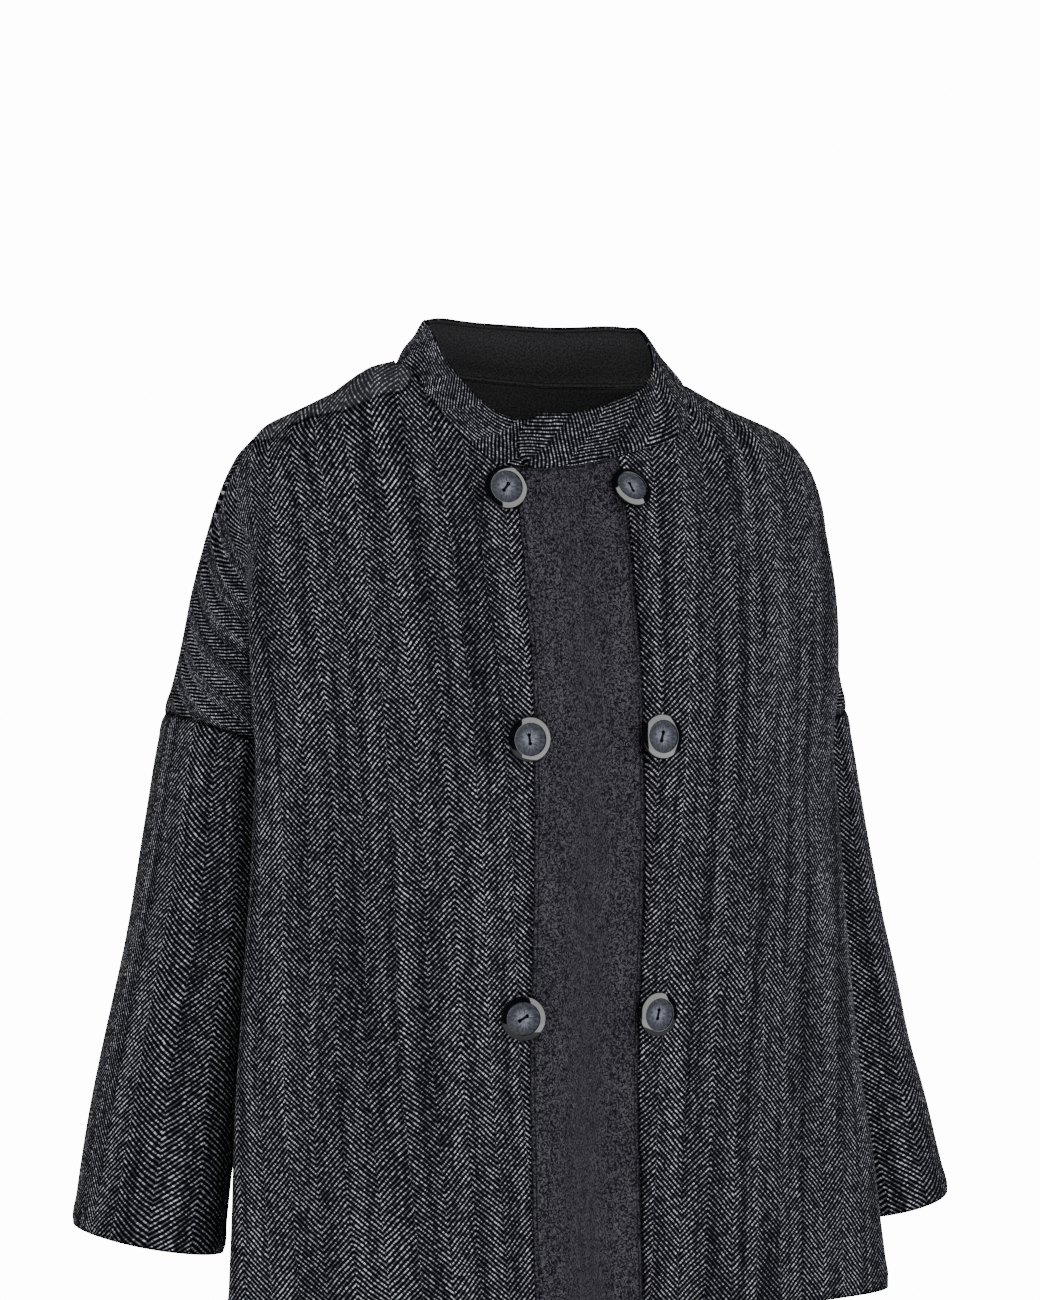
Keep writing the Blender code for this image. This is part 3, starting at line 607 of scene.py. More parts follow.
def sleeve_net(side):
    ring = [net_point(c, ROWS_UP, side, False) for c in range(SIDE_COLUMN + 1, LAST_COLUMN + 1)]
    ring += [net_point(c, ROWS_UP, side, True) for c in range(LAST_COLUMN - 1, SIDE_COLUMN, -1)]
    under = sway(UNDERARM_Z) + side * (BOD["side_x"](UNDERARM_Z) + SLEEVE_STANDS_OFF)
    ring.append(Vector((under, BOD["side_y"](UNDERARM_Z), UNDERARM_Z)))
    angles, deltas = [], []
    for p in ring:
        hx, hy, cx, cy = arm_axes(p.z)
        a = math.degrees(math.atan2((p.y - cy) / hy, (side * (p.x - sway(p.z)) - cx) / hx))
        angles.append(a)
        deltas.append(p - ellipse_point(p.z, a, side))
    n = len(ring)
    round_at = [0.0]
    for i in range(n):
        round_at.append(round_at[-1] + (ring[(i + 1) % n] - ring[i]).length)
    points, faces = [], []
    for row in range(SLEEVE_ROWS + 1):
        s = row / SLEEVE_ROWS
        for i, top in enumerate(ring):
            end = CUFF_Z + CUFF_TILT * BOD["arm_hx"](CUFF_Z) * math.cos(math.radians(angles[i]))
            z = top.z + (end - top.z) * s
            p = ellipse_point(z, angles[i], side) + deltas[i] * (1.0 - smooth(s * 2.2))
            points.append(Vector((p.x, p.y, z)) if row else top)
    for row in range(SLEEVE_ROWS):
        for i in range(n):
            j = (i + 1) % n
            q = [(i, row, round_at[i]), (i, row + 1, round_at[i]),
                 (j, row + 1, round_at[i + 1]), (j, row, round_at[i + 1])]
            if side < 0:
                q.reverse()
            faces.append([(r * n + k, (u, -points[r * n + k].z)) for k, r, u in q])
    keys = {(i, row): row * n + i % n for row in range(SLEEVE_ROWS + 1) for i in range(n + 1)}
    return points, faces, cut_size(points, keys)


CORNER_DIP = {False: 5.0, True: 3.0}  # rounds the top edge over, at the right and left of the neck
LAP_STANDS_OFF = 3.4
TURNING, TURNED_IN = 3.0, 1.6  # the collar goes on below its seam, inside the neck edge
BIAS = 0.7071  # its cloth lies at 45 degrees
COLLAR_ROWS = 8
# soft rolls of the standing collar: (x, width, share of the height, height, out)
COLLAR_ROLLS = (
    (-106.0, 26.0, 0.0, 0.2, -3.0), (-104.0, 20.0, 0.34, 0.14, 2.2), (-104.0, 24.0, 0.62, 0.12, -1.0),
    (-106.0, 20.0, 0.95, 0.2, 2.0), (-66.0, 16.0, 0.35, 0.3, 1.6), (-40.0, 12.0, 0.7, 0.3, -0.8),
    (24.0, 16.0, 0.55, 0.3, 1.2), (66.0, 20.0, 0.3, 0.3, 1.5), (104.0, 28.0, 0.3, 0.3, 3.0),
    (98.0, 20.0, 0.95, 0.3, 1.2))


def collar_roll(x, share, level):
    """How far the rolls stand out from the collar's plain cone."""
    if not level and x >= 0.0:
        return 0.0
    return sum(out * math.exp(-((x - at) / width) ** 2 - ((share - up) / high) ** 2)
               for at, width, up, high, out in COLLAR_ROLLS)


def collar_net():
    line, rows = collar_base(), COLLAR_ROWS
    points, faces, grains = [], [], []
    along, last = 0.0, None
    for i, (x, rear, level) in enumerate(line):
        end = min(i, len(line) - 1 - i)
        low, high = COLLAR_TIP[end][1:] if end < len(COLLAR_TIP) else (0.0, 1.0)
        low, high = low * COLLAR_HEIGHT, high * COLLAR_HEIGHT
        high -= CORNER_DIP[x > 0.0] * math.exp(-((abs(x) - NECK_HALF_WIDTH) / 11.0) ** 2)
        middle = collar_point(x, rear, level, COLLAR_HEIGHT * 0.5)[0]
        along += (middle - last).length if last else 0.0
        last = middle
        for k in range(rows):
            h = low + (high - low) * (k - 1) / (rows - 2) if k else low - TURNING
            p, n = collar_point(x, rear, level, h)
            out = LAP_STANDS_OFF * smooth((6.0 - p.x) / 36.0) if level and rear is False else 0.0
            points.append(p + n * (collar_roll(p.x, h / COLLAR_HEIGHT, level) + out if k else -TURNED_IN))
            grains.append(((along + h) * BIAS, (along - h) * BIAS))
    for i in range(len(line) - 1):
        for k in range(rows - 1):
            q = [i * rows + k, i * rows + k + 1, (i + 1) * rows + k + 1, (i + 1) * rows + k]
            faces.append([(j, grains[j]) for j in q])
    keys = {(i, k): i * rows + k for i in range(len(line)) for k in range(rows)}
    return points, faces, cut_size(points, keys)


def link(name, data):
    obj = bpy.data.objects.new(name, data)
    bpy.context.scene.collection.objects.link(obj)
    return obj


def put(name, bm, materials):
    """Puts what was built into the scene as an object."""
    mesh = bpy.data.meshes.new(name)
    bm.to_mesh(mesh)
    bm.free()
    for material in materials:
        mesh.materials.append(material)
    return link(name, mesh)


def apply_modifiers(obj):
    mesh = bpy.data.meshes.new_from_object(obj.evaluated_get(bpy.context.evaluated_depsgraph_get()))
    obj.modifiers.clear()
    obj.data = mesh


ROUNDING = 2  # levels of subdivision
WEAR = 0.9  # depth of the slow dents
SEAM_SWELL = 0.8  # the turnings inside a seam lift the cloth beside it
SEAM_SINK = 0.9  # and the seam itself is drawn in
SHOULDER_PEAK = 4.2  # the yoke stands up at the point of the wearer's right shoulder
# there the shoulder seam has slipped forward, towards the neck: (-x, z)
SHOULDER_LINE = ((104.0, 0.0), (112.0, -11.0), (127.0, -18.5), (151.0, -25.5), (177.0, -31.0),
                 (193.0, -38.0), (203.0, -48.0))
SLIPPED_X, SLIPPED_Z = -90.0, -70.0  # outwards of and above these it is drawn
EDGE_LEFT_X, EDGE_LEFT_Z = -0.104, -0.042  # and here, in metres, the piece's own edge isn't
FAR_FROM_LINE = -40.0


def sine_wear(p):
    """Slow, uneven rise and fall of cloth shaped by wear, the same on every layer."""
    return (math.sin(p.x / 23.0 + 1.3 * math.sin(p.z / 61.0)) * math.sin(p.z / 47.0 + p.y / 31.0 + 0.7)
            + 0.6 * math.sin(p.x / 11.0 - p.z / 83.0 + 2.1)
            * math.sin(p.z / 29.0 + 1.1 * math.sin(p.x / 37.0)))


def wear_and_press(mesh, yoke):
    """Soft dents of wear, swollen and sunk seams. The loops get, as "seam",
    their distance from the edge and their height above the slipped seam."""
    bm = bmesh.new()
    bm.from_mesh(mesh)
    bm.normal_update()
    edge = kdtree.KDTree(len(bm.verts))
    for v in bm.verts:
        if v.is_boundary and not (yoke and v.co.x < EDGE_LEFT_X and v.co.z > EDGE_LEFT_Z):
            edge.insert(v.co, v.index)
    edge.balance()
    seam = bm.loops.layers.uv.new("seam")
    moves = []
    for v in bm.verts:
        x, z = v.co.x / MM, v.co.z / MM
        near, above = edge.find(v.co)[2] / MM, FAR_FROM_LINE
        if yoke and x < SLIPPED_X and z > SLIPPED_Z:
            above = z - float(np.interp(-x, *zip(*SHOULDER_LINE)))
        for corner in v.link_loops:
            corner[seam].uv = (near, above)
        line = min(near, abs(above))
        wear = WEAR * sine_wear(v.co / MM)
        wear += SEAM_SWELL * math.exp(-((line - 9.0) / 6.0) ** 2) - SEAM_SINK * math.exp(-(line / 1.5) ** 2)
        peak = 0.0
        if yoke:
            peak = SHOULDER_PEAK * math.exp(-((x + 131.0) / 14.0) ** 2) * smooth((z + 75.0) / 50.0)
        moves.append(v.normal * (wear * MM) + Vector((0, 0, peak * MM)))
    for v, move in zip(bm.verts, moves):
        v.co += move
    bm.to_mesh(mesh)
    bm.free()


def cloth_piece(name, points, faces, outside, inside, rim_slot, yoke):
    """A shell of cloth: rounded by subdivision, its edges pressed flat, then
    given its thickness on the inside."""
    mesh = bpy.data.meshes.new(name)
    mesh.from_pydata([tuple(p * MM) for p in points], [], [[i for i, _ in f] for f in faces])
    layer = mesh.uv_layers.new(name="grain")
    for poly, face in zip(mesh.polygons, faces):
        for corner, (_, g) in zip(poly.loop_indices, face):
            layer.data[corner].uv = g
    obj = link(name, mesh)
    sub = obj.modifiers.new("round", "SUBSURF")
    sub.levels = sub.render_levels = ROUNDING
    sub.boundary_smooth = "PRESERVE_CORNERS"
    apply_modifiers(obj)
    fine = obj.data
    wear_and_press(fine, yoke)
    fine.materials.append(outside)
    fine.materials.append(inside)
    fine.shade_smooth()
    thick = obj.modifiers.new("cloth", "SOLIDIFY")
    thick.thickness = CLOTH * MM
    thick.offset = -1.0
    thick.use_rim = True
    thick.material_offset = 1
    thick.material_offset_rim = rim_slot
    return obj, sum(p.area for p in fine.polygons)


# ---- materials ----
CLOTH_ROUGH, CLOTH_SHINE = 0.95, 0.012


def linear(code):
    """sRGB hex to linear colour."""
    out = []
    for k in (1, 3, 5):
        c = int(code[k:k + 2], 16) / 255.0
        out.append(c / 12.92 if c <= 0.04045 else ((c + 0.055) / 1.055) ** 2.4)
    return (*out, 1.0)


class Nodes:
    """The nodes of one material. Each method adds one and gives its output."""

    def __init__(self, tree):
        self.tree = tree

    def fill(self, made, inputs):
        """Links or fills the sockets of a node."""
        for key, value in inputs.items():
            if isinstance(value, bpy.types.NodeSocket):
                self.tree.links.new(value, made.inputs[key])
            else:
                made.inputs[key].default_value = value

    def add(self, kind, inputs, **settings):
        """Adds a node, sets it up and gives all its outputs."""
        made = self.tree.nodes.new("ShaderNode" + kind)
        for key, value in settings.items():
            setattr(made, key, value)
        self.fill(made, inputs)
        return made.outputs

    def uv(self, name):
        return self.add("UVMap", {}, uv_map=name)[0]

    def split(self, vector):
        return self.add("SeparateXYZ", {0: vector})

    def math(self, operation, *values, clamp=False):
        return self.add("Math", dict(enumerate(values)), operation=operation, use_clamp=clamp)[0]

    def vector(self, operation, *values):
        return self.add("VectorMath", dict(enumerate(values)), operation=operation)[0]

    def off_middle(self, value):
        """How far a value is from the middle between two whole numbers."""
        return self.math("ABSOLUTE", self.math("SUBTRACT", self.math("FRACT", value), 0.5))

    def ramp(self, value, low, high, start=0.0, end=1.0, kind="LINEAR"):
        """From start to end while the value goes from low to high."""
        return self.add("MapRange", {0: value, 1: low, 2: high, 3: start, 4: end}, interpolation_type=kind)[0]

    def mix(self, share, first, second):
        """A colour between two, each given as sRGB hex or as an output."""
        first, second = (linear(c) if isinstance(c, str) else c for c in (first, second))
        return self.add("Mix", {0: share, 6: first, 7: second}, data_type="RGBA")[2]

    def noise(self, place, scale, detail=3.0, rough=0.5, output="Fac"):
        inputs = {"Vector": place, "Scale": scale, "Detail": detail, "Roughness": rough}
        return self.add("TexNoise", inputs, noise_dimensions="2D")[output]

    def chance(self, cell, dimensions):
        return self.add("TexWhiteNoise", {"Vector": cell}, noise_dimensions=dimensions)["Value"]

    def bump(self, strength, distance, height, under=None):
        inputs = {"Strength": strength, "Distance": distance, "Height": height}
        if under is not None:
            inputs["Normal"] = under
        return self.add("Bump", inputs)[0]

    def dress(self, mat, colour, rough, shine, bump=None, **more):
        """Gives the material its look."""
        inputs = {"Base Color": colour, "Roughness": rough, "Specular IOR Level": shine, **more}
        if bump is not None:
            inputs["Normal"] = bump
        self.fill(self.tree.nodes["Principled BSDF"], inputs)
        return mat


def new_material(name):
    mat = bpy.data.materials.new(name)
    mat.use_nodes = True
    return mat, Nodes(mat.node_tree)


# the weave, in mm of the flat cloth
TWILL_REPEAT = 4.2  # from one slanting line to the next, straight across or down
STRIPE_WIDTH = 21.5  # the slant turns after this
FLOAT_LENGTH = 1.15  # of one yarn float, counted as the repeat is
YARN_DRIFT = 2.6  # how far the lines wander
WOOL_DARK, WOOL_MIDDLE, WOOL_PALE = "#030409", "#0d0e13", "#f1f4ff"
# paler grey mixed into the top of the wearer's right shoulder as painted light
WOOL_PAINTED_LIGHT = "#77797f"
FLOAT_POWER = 3.2  # makes bright floats rare
FLOAT_LEAST = 0.08  # and none quite as dark as the ground
STREAK_DARK, STREAK_LIGHT = 0.34, 1.15
SEAM_SHADE = 0.34  # what is left of the colour where a seam draws in


def herringbone_wool():
    """Double-faced wool in herringbone: pale yarn floats in slanting lines on
    a near-black ground. Square to them the lines are 3 mm apart; the slant
    turns every 21.5 mm."""
    mat, tree = new_material("herringbone_wool")
    uv = tree.uv("grain")
    wander = tree.noise(uv, 0.04, rough=0.6, output="Color")
    drift = tree.vector("SUBTRACT", wander, (0.5, 0.5, 0.5))
    drift = tree.add("VectorMath", {0: drift, "Scale": YARN_DRIFT}, operation="SCALE")[0]
    at = tree.split(tree.vector("ADD", uv, drift))
    stripe = tree.math("FLOOR", tree.math("DIVIDE", at[0], STRIPE_WIDTH))
    odd = tree.math("FLOORED_MODULO", stripe, 2.0)
    way = tree.math("MULTIPLY_ADD", odd, 2.0, -1.0)
    # counted across the slanting lines, half a repeat on at each turn
    line = tree.math("DIVIDE", tree.math("MULTIPLY_ADD", at[0], way, at[1]), TWILL_REPEAT)
    line = tree.math("MULTIPLY_ADD", odd, 0.5, line)
    number = tree.math("FLOOR", line)
    ridge = tree.ramp(tree.off_middle(line), 0.25, 0.07, kind="SMOOTHSTEP")
    # counted along them: one yarn float after another, each its own shade
    back_way = tree.math("MULTIPLY", way, -1.0)
    run = tree.math("DIVIDE", tree.math("MULTIPLY_ADD", at[0], back_way, at[1]), FLOAT_LENGTH)
    run = tree.math("MULTIPLY_ADD", number, 0.37, run)
    bead = tree.ramp(tree.off_middle(run), 0.5, 0.25, 0.12, 1.2, kind="SMOOTHSTEP")
    cell = tree.add("CombineXYZ", {0: number, 1: tree.math("FLOOR", run), 2: stripe})[0]
    chance = tree.chance(cell, "3D")
    shade = tree.ramp(tree.math("POWER", chance, FLOAT_POWER), 0.0, 1.0, FLOAT_LEAST, 1.0)
    shade = tree.math("MULTIPLY", tree.math("MULTIPLY", shade, ridge), bead)
    # slow lengthwise light and dark, as uneven yarn gives
    long = tree.vector("MULTIPLY", uv, (0.085, 0.0035, 1.0))
    streak = tree.ramp(tree.noise(long, 1.0, rough=0.6), 0.34, 0.68, STREAK_DARK, STREAK_LIGHT)
    shade = tree.math("MULTIPLY", shade, streak, clamp=True)
    ground = tree.mix(chance, WOOL_DARK, WOOL_MIDDLE)
    colour = tree.mix(shade, ground, WOOL_PALE)
    # turned edges are rounded, and darkened with painted shade where the seam draws in
    edges = tree.split(tree.uv("seam"))
    # painted light: above the slipped shoulder seam the top of the shoulder is made paler, as if lit from
    # above
    shoulder_top_light = tree.ramp(edges[1], 0.0, 3.0, 0.0, 0.11)
    colour = tree.mix(shoulder_top_light, colour, WOOL_PAINTED_LIGHT)
    # painted shade: within 1.8 mm of every edge and of the slipped seam the colour falls towards the dark
    # ground
    seam = tree.math("MINIMUM", edges[0], tree.math("ABSOLUTE", edges[1]))
    drawn = tree.ramp(seam, 0.2, 1.8, kind="SMOOTHSTEP")
    colour = tree.mix(tree.ramp(drawn, 0.0, 1.0, SEAM_SHADE, 1.0), WOOL_DARK, colour)
    bump = tree.bump(0.6, 0.0005, ridge, tree.bump(0.9, 0.0012, drawn))
    return tree.dress(mat, colour, CLOTH_ROUGH, CLOTH_SHINE, bump)


def felted_reverse():
    """The plain face of the double cloth, milled and near black: a soft,
    closed surface with only a faint mottle."""
    mat, tree = new_material("milled_wool_reverse")
    fibre = tree.ramp(tree.noise(tree.uv("grain"), 0.7, 4.0, 0.7), 0.3, 0.7)
    colour = tree.mix(fibre, "#1c1c1d", "#4d4d4f")
    # where the two faces are felled together, a sunk line beside each edge, darkened with painted shade
    seam = tree.split(tree.uv("seam"))[0]
    felled_line_shade = tree.math("COMPARE", seam, 3.4, 0.7)
    colour = tree.mix(tree.ramp(felled_line_shade, 0.0, 1.0, 1.0, 0.5), "#040404", colour)
    bump = tree.bump(0.4, 0.0004, fibre)
    return tree.dress(mat, colour, CLOTH_ROUGH, CLOTH_SHINE, bump)


RIB_PITCH, RIB_SLOPE = 1.9, 1.5  # mm from rib to rib down the band, and how steep they are
BAND_THREAD = (0.9, 1.0)  # mm across and along


def band_twill():
    """Wool and cotton twill of the front band: fine slanting ribs, dark
    violet grey. The ribs come every 1.9 mm down the band, which is 1.05 mm
    square to them; the real ones look finer and weren't measured."""
    mat, tree = new_material("twill_band")
    uv = tree.uv("grain")
    at = tree.split(uv)
    slope = tree.math("MULTIPLY_ADD", at[0], RIB_SLOPE, at[1])
    rib = tree.math("SINE", tree.math("MULTIPLY", slope, 2.0 * math.pi / RIB_PITCH))
    thread = tree.vector("MULTIPLY", uv, (1.0 / BAND_THREAD[0], 1.0 / BAND_THREAD[1], 1.0))
    chance = tree.chance(tree.vector("FLOOR", thread), "2D")
    long = tree.vector("MULTIPLY", uv, (0.07, 0.02, 1.0))
    slub = tree.ramp(tree.noise(long, 1.0), 0.3, 0.7, 0.88, 1.06)
    mark = tree.math("MULTIPLY_ADD", rib, 0.2, chance)
    mark = tree.math("POWER", tree.math("MULTIPLY", mark, slub, clamp=True), 1.9)
    colour = tree.mix(mark, "#0b0a0f", "#5a5861")
    # edge stitched down 3 mm in: a rounded lip, then the sunk line; both are darkened with painted shade
    seam = tree.split(tree.uv("seam"))[0]
    lip = tree.ramp(seam, 0.0, 1.3, kind="SMOOTHSTEP")
    sunk = tree.math("COMPARE", seam, 3.2, 0.55)
    pressed_and_shaded = tree.math("SUBTRACT", lip, sunk, clamp=True)
    colour = tree.mix(tree.ramp(pressed_and_shaded, 0.0, 1.0, 0.45, 1.0), "#070609", colour)
    bump = tree.bump(0.4, 0.0002, rib, tree.bump(0.8, 0.0009, pressed_and_shaded))
    return tree.dress(mat, colour, 0.9, 0.02, bump)


def cast_polyester(name, low, high, rough, shine, sheen_share):
    """Cast polyester of the buttons. The polished rim shows the studio's big light as a pale crescent; the
    dish, brush-finished out from the holes, gets a painted sheen: radial streaks, paler near the holes."""
    mat, tree = new_material(name)
    at = tree.split(tree.uv("turning"))
    across = tree.add("CombineXYZ", {0: at[0], 1: at[1]})[0]
    radius = tree.add("VectorMath", {0: across}, operation="LENGTH")["Value"]
    spoke = tree.math("MULTIPLY", tree.math("ARCTAN2", at[1], at[0]), 5.0)
    drawn_out = tree.math("MULTIPLY", radius, 0.22)
    brush = tree.add("CombineXYZ", {0: spoke, 1: drawn_out})[0]
    # painted highlight: radial streaks, strongest near the holes, stand in for the dish's sheen
    streak = tree.ramp(tree.noise(brush, 1.3, rough=0.7), 0.42, 0.6, 0.22, 1.0)
    near = tree.ramp(radius, 1.5, 9.0, 1.0, 0.14, kind="SMOOTHSTEP")
    pale = tree.math("MULTIPLY", tree.math("MULTIPLY", streak, near), sheen_share)
    mottle_and_sheen = tree.math("MULTIPLY_ADD", tree.noise(across, 0.35), 0.2, pale, clamp=True)
    wipe = tree.ramp(mottle_and_sheen, 0.0, 1.0, rough, rough * 1.25)
    return tree.dress(mat, tree.mix(mottle_and_sheen, low, high), wipe, shine, IOR=1.56)


def sewing_thread():
    """Waxed black polyester thread."""
    mat, tree = new_material("polyester_thread")
    place = tree.add("TexCoord", {})["Object"]
    twist = tree.add("TexWave", {"Vector": place, "Scale": 900.0})["Fac"]
    return tree.dress(mat, tree.mix(twist, "#060609", "#15161b"), 0.8, 0.03)


# ---- buttons ----
BUTTONS_COLUMNS = ("column", "row", "level", "slot_degrees", "lean_side", "lean_up")
BUTTONS = (
    ("right", 0, 0, 50.0, 3.0, -12.0),
    ("right", 1, 0, 98.0, 5.0, -3.0),
    ("right", 2, 0, 33.0, -12.0, 6.0),
    ("left", 0, 1, 98.0, 12.0, 6.0),
    ("left", 1, 1, 74.0, 9.0, 0.0),
    ("left", 2, 1, 79.0, 14.0, 5.0),
)
DISH_RING = 14  # where the profile turns from rim to dish
RIM_WIDTH = 4.3
BUTTON_SIDES = 64
HOLE_RADIUS, HOLE_OFF_MIDDLE, HOLE_DEPTH = 1.45, 3.0, 9.0
SLOT_SIZE = (6.0, 1.9, 2.0)  # along, across, deep
SLOT_MIDDLE = BUTTON_STAND + BUTTON_THICK - 1.5
STRANDS, STRAND_STEPS, STRAND_SIDES = 3, 8, 6
STRAND_RADIUS, STRANDS_APART, STRAND_REACH = 0.27, 0.42, 3.1
STRAND_Z = BUTTON_STAND + BUTTON_THICK - 2.35


def button_profile():
    """(radius, height): foot, rounded side, sloping rim, lip and dish."""
    r, b, t = BUTTON_RADIUS, BUTTON_STAND, BUTTON_THICK
    d = r - RIM_WIDTH
    return (
        (BUTTON_FOOT_RADIUS * 0.8, 0.0), (BUTTON_FOOT_RADIUS, 0.5), (BUTTON_FOOT_RADIUS, b - 0.3),
        (BUTTON_FOOT_RADIUS + 0.6, b), (r - 2.4, b + 0.1), (r - 0.8, b + 0.5), (r - 0.15, b + 1.2),
        (r, b + 2.0), (r - 0.1, b + t - 1.5), (r - 0.3, b + t - 1.1), (r - 0.6, b + t - 0.92),
        (d + 0.4, b + t - 0.08), (d + 0.15, b + t), (d, b + t - 0.2), (d - 0.15, b + t - 0.9),
        (d - 0.5, b + t - 1.15), (d - 2.2, b + t - 1.3), (d - 4.2, b + t - 1.6), (d - 6.4, b + t - 1.85),
        (d - 8.6, b + t - 1.95))


def turned_disc(name, materials):
    """The button lying flat, with its two places on the disc as "turning"."""
    bm = bmesh.new()
    angles = [2 * math.pi * k / BUTTON_SIDES for k in range(BUTTON_SIDES)]
    rings = [[bm.verts.new((r * math.cos(a), r * math.sin(a), h)) for a in angles]
             for r, h in button_profile()]
    for i, (low, high) in enumerate(zip(rings, rings[1:])):
        for k in range(BUTTON_SIDES):
            j = (k + 1) % BUTTON_SIDES
            f = bm.faces.new((low[k], low[j], high[j], high[k]))
            f.material_index = 1 if i >= DISH_RING else 0
            f.smooth = True
    bm.faces.new(list(reversed(rings[0])))
    bm.faces.new(rings[-1]).material_index = 1
    turning = bm.loops.layers.uv.new("turning")
    for f in bm.faces:
        for corner in f.loops:
            corner[turning].uv = corner.vert.co.xy
    return put(name + "_turned", bm, materials)


def carve_holes(disc, along, across, materials):
    """Cuts the two holes, and the shallow slot between them, in the dish."""
    cut = bmesh.new()
    for s in (-1, 1):
        hole = bmesh.ops.create_cone(cut, cap_ends=True, segments=24, radius1=HOLE_RADIUS,
                                     radius2=HOLE_RADIUS, depth=HOLE_DEPTH)
        for v in hole["verts"]:
            v.co += along * (HOLE_OFF_MIDDLE * s) + Vector((0, 0, BUTTON_STAND + HOLE_DEPTH / 2))
    for v in bmesh.ops.create_cube(cut, size=1.0)["verts"]:
        v.co = (along * (v.co.x * SLOT_SIZE[0]) + across * (v.co.y * SLOT_SIZE[1])
                + Vector((0, 0, v.co.z * SLOT_SIZE[2] + SLOT_MIDDLE)))
    for f in cut.faces:
        f.material_index = 2
    cutter = put("holes", cut, materials)
    mod = disc.modifiers.new("holes", "BOOLEAN")
    mod.object = cutter
    mod.operation = "DIFFERENCE"
    mod.use_self = True
    apply_modifiers(disc)
    bpy.data.objects.remove(cutter, do_unlink=True)


def strands(name, along, across, place, thread):
    """Strands of thread from hole to hole, each a bent tube."""
    bm = bmesh.new()
    angles = [2 * math.pi * k / STRAND_SIDES for k in range(STRAND_SIDES)]
    for strand in range(STRANDS):
        beside = across * (STRANDS_APART * (strand - STRANDS // 2))
        previous = None
        for j in range(STRAND_STEPS + 1):
            s = -1.0 + 2.0 * j / STRAND_STEPS
            height = STRAND_Z + 0.5 * (1 - s * s) - 0.7 * abs(s) ** 6
            middle = along * (STRAND_REACH * s) + beside + Vector((0, 0, height))
            ring = [bm.verts.new(place(middle + across * (STRAND_RADIUS * math.cos(a))
                                       + Vector((0, 0, STRAND_RADIUS * math.sin(a))))) for a in angles]
            if previous:
                for k in range(STRAND_SIDES):
                    n = (k + 1) % STRAND_SIDES
                    bm.faces.new((previous[k], previous[n], ring[n], ring[k])).smooth = True
            else:
                bm.faces.new(ring)
            previous = ring
        bm.faces.new(list(reversed(previous)))
    bmesh.ops.recalc_face_normals(bm, faces=bm.faces)
    return put(name + "_thread", bm, [thread])


def button(row, rim, dish, thread):
    d = dict(zip(BUTTONS_COLUMNS, row))
    d["name"] = "button_%s_%d" % (d["column"], d["row"] + 1)
    sewn_at = dict(zip(BUTTON_ROWS_COLUMNS, BUTTON_ROWS[d["row"]]))
    origin, axis = button_frame(sewn_at[d["column"]], sewn_at["height"], d["level"])
    axis.rotate(Matrix.Rotation(math.radians(d["lean_side"]), 3, "Z"))
    right = Vector((0, 0, 1)).cross(axis).normalized()
    axis.rotate(Matrix.Rotation(-math.radians(d["lean_up"]), 3, right))
    up = axis.cross(right).normalized()

    def place(v):
        return (origin + right * v.x + up * v.y + axis * v.z) * MM

    slot = math.radians(d["slot_degrees"])
    along = Vector((math.cos(slot), math.sin(slot), 0))
    across = Vector((-along.y, along.x, 0))
    obj = turned_disc(d["name"], (rim, dish, thread))
    carve_holes(obj, along, across, (rim, dish, thread))
    for v in obj.data.vertices:
        v.co = place(v.co)
    sewn = strands(d["name"], along, across, place, thread)
    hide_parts(d["name"])
    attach(obj, "root")
    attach(sewn, "root")


# ---- studio ----
CAMERA_AZIMUTH, CAMERA_HEIGHT = math.radians(-18.0), math.radians(2.0)
CAMERA_DISTANCE = 3.2
FILM = 36.0
FRAME_HEIGHT = 0.975  # metres of the garment's plane seen top to bottom
AIM_RIGHT, AIM_UP = -0.012, -0.204
FLOOR_Z = -1450.0  # where the wearer would stand
FLOOR_RADIUS = 3.4  # metres
KEY_POWER = 50.0
FILL_POWER = 30.0
SOFTBOX_POWER = 118.0
WORLD_LIGHT = 0.35
DARK_FLAGS = 0.04  # what a polished rim sees beside the light
WHITE_BACKGROUND = 14.0


def area_light(name, place, target, size, power, on_cloth=True):
    """A light that the cloth gets, or one that only polished faces show."""
    data = bpy.data.lights.new(name, "AREA")
    data.shape = "RECTANGLE"
    data.size, data.size_y = size
    data.energy = power
    obj = link(name, data)
    obj.location = place
    obj.rotation_euler = (Vector(target) - Vector(place)).to_track_quat("-Z", "Y").to_euler()
    obj.visible_camera = False
    obj.visible_diffuse = on_cloth
    obj.visible_glossy = not on_cloth


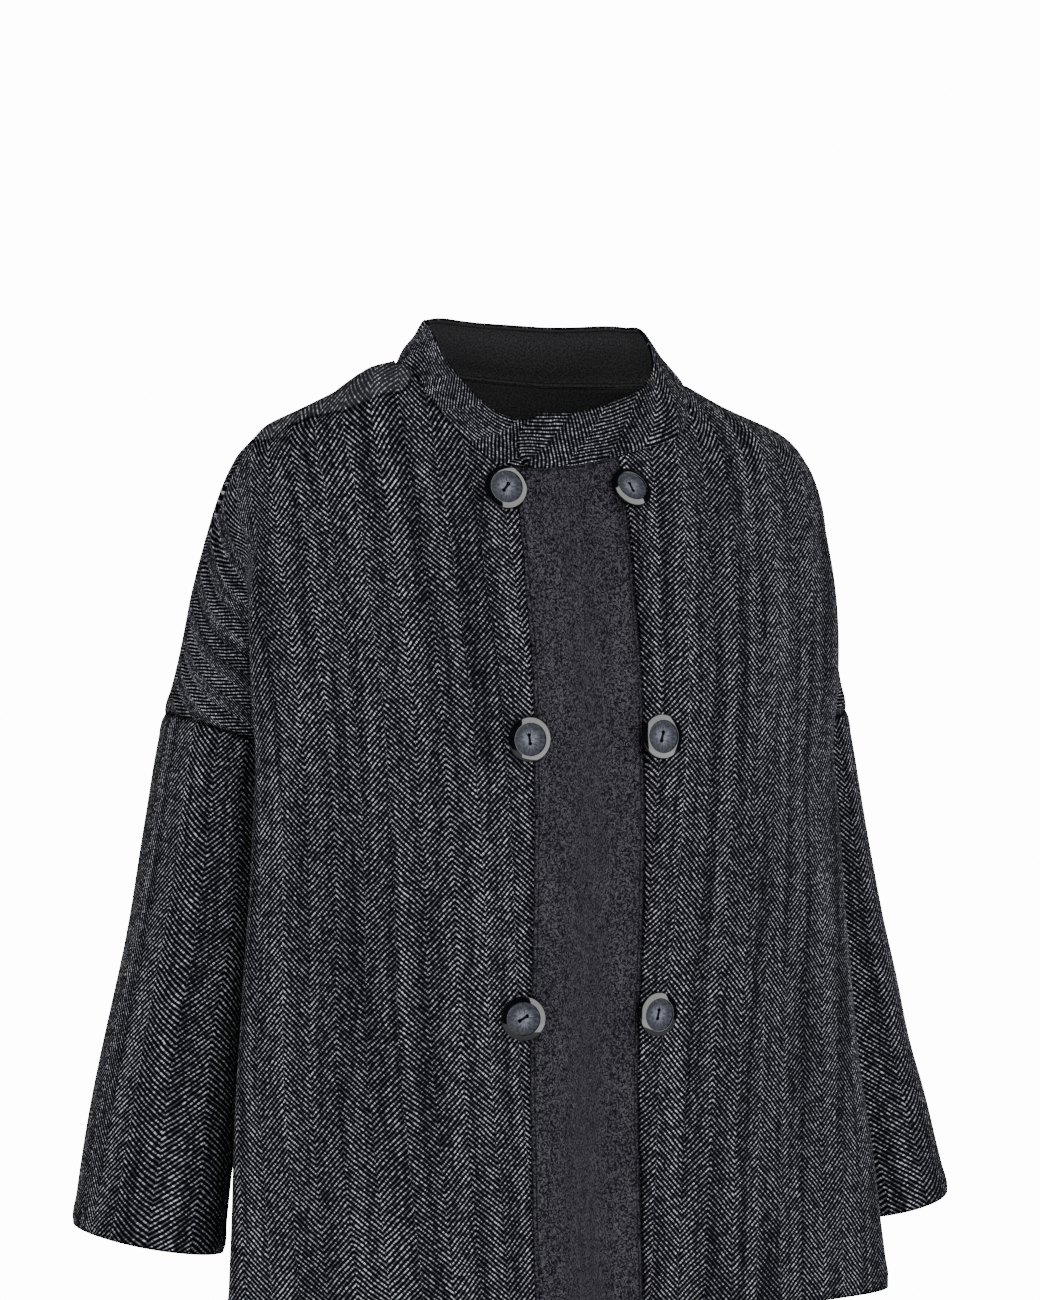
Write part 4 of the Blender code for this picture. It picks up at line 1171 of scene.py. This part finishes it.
def studio():
    a, e = CAMERA_AZIMUTH, CAMERA_HEIGHT
    back = Vector((math.sin(a) * math.cos(e), -math.cos(a) * math.cos(e), math.sin(e)))
    right = Vector((math.cos(a), math.sin(a), 0.0))
    data = bpy.data.cameras.new("camera")
    data.sensor_fit = "VERTICAL"
    data.sensor_height = FILM
    data.lens = FILM * CAMERA_DISTANCE / FRAME_HEIGHT
    camera = link("camera", data)
    camera.location = right * AIM_RIGHT + Vector((0, 0, AIM_UP)) + back * CAMERA_DISTANCE
    camera.rotation_euler = (-back).to_track_quat("-Z", "Y").to_euler()
    bpy.context.scene.camera = camera

    paint, tree = new_material("painted_studio_floor")
    cloudy = tree.add("TexNoise", {"Scale": 3.0})["Fac"]
    tree.dress(paint, tree.mix(cloudy, "#f4f4f4", "#f9f9f9"), 0.9, 0.5)
    bm = bmesh.new()
    bmesh.ops.create_circle(bm, cap_ends=True, segments=96, radius=FLOOR_RADIUS)
    for v in bm.verts:
        v.co.z = FLOOR_Z * MM
    floor = put("floor", bm, [paint])

    world = bpy.data.worlds.new("studio")
    world.use_nodes = True
    tree = Nodes(world.node_tree)
    ray = tree.add("LightPath", {})
    glow = tree.ramp(ray["Is Glossy Ray"], 0.0, 1.0, WORLD_LIGHT, DARK_FLAGS)
    glow = tree.ramp(ray["Is Camera Ray"], 0.0, 1.0, glow, WHITE_BACKGROUND)
    tree.fill(world.node_tree.nodes["Background"], {"Color": linear("#ffffff"), "Strength": glow})
    bpy.context.scene.world = world

    centre = (0.0, 0.0, -0.3)
    area_light("left_on_cloth", (-2.75, -1.35, 0.5), centre, (2.6, 3.2), KEY_POWER)
    area_light("right_on_cloth", (1.75, -2.4, 0.5), centre, (2.6, 3.2), KEY_POWER * 0.9)
    area_light("front_on_cloth", (-0.93, -2.85, 0.2), centre, (2.4, 2.4), FILL_POWER)
    area_light("softbox_seen_in_buttons", (0.86, -1.23, 0.45), (0.0, 0.0, 0.45), (1.7, 3.7), SOFTBOX_POWER,
               on_cloth=False)


def jacket():
    herringbone, reverse, twill = herringbone_wool(), felted_reverse(), band_twill()
    nets = {
        "back": panel_net(-LAST_COLUMN, LAST_COLUMN, 1, True),
        "front_right": panel_net(-3, LAST_COLUMN, -1, False),
        "front_left": panel_net(2, LAST_COLUMN, 1, False, lapped=True),
        "front_band": panel_net(-3, 2, 1, False, lapped=True),
        "collar": collar_net(),
        "sleeve_right": sleeve_net(-1),
        "sleeve_left": sleeve_net(1),
    }
    for name, (points, faces, cut) in nets.items():
        outside = twill if name == "front_band" else herringbone
        piece, area = cloth_piece(name + "_cloth", points, faces, outside, reverse,
                                  rim_slot=0 if name == "collar" else 1, yoke=name in ("front_right", "back"))
        width, length = (side * MM for side in cut)
        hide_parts(name)
        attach(piece, "root")


studio()
jacket()
rim = cast_polyester("cast_polyester_rim", "#04050a", "#0d0f18", 0.06, 0.5, 0.0)
# the dish's pale colour is reached through its painted sheen
dish = cast_polyester("cast_polyester_dish", "#06070c", "#8a8e9c", 0.55, 0.025, 1.0)
thread = sewing_thread()
for row in BUTTONS:
    button(row, rim, dish, thread)
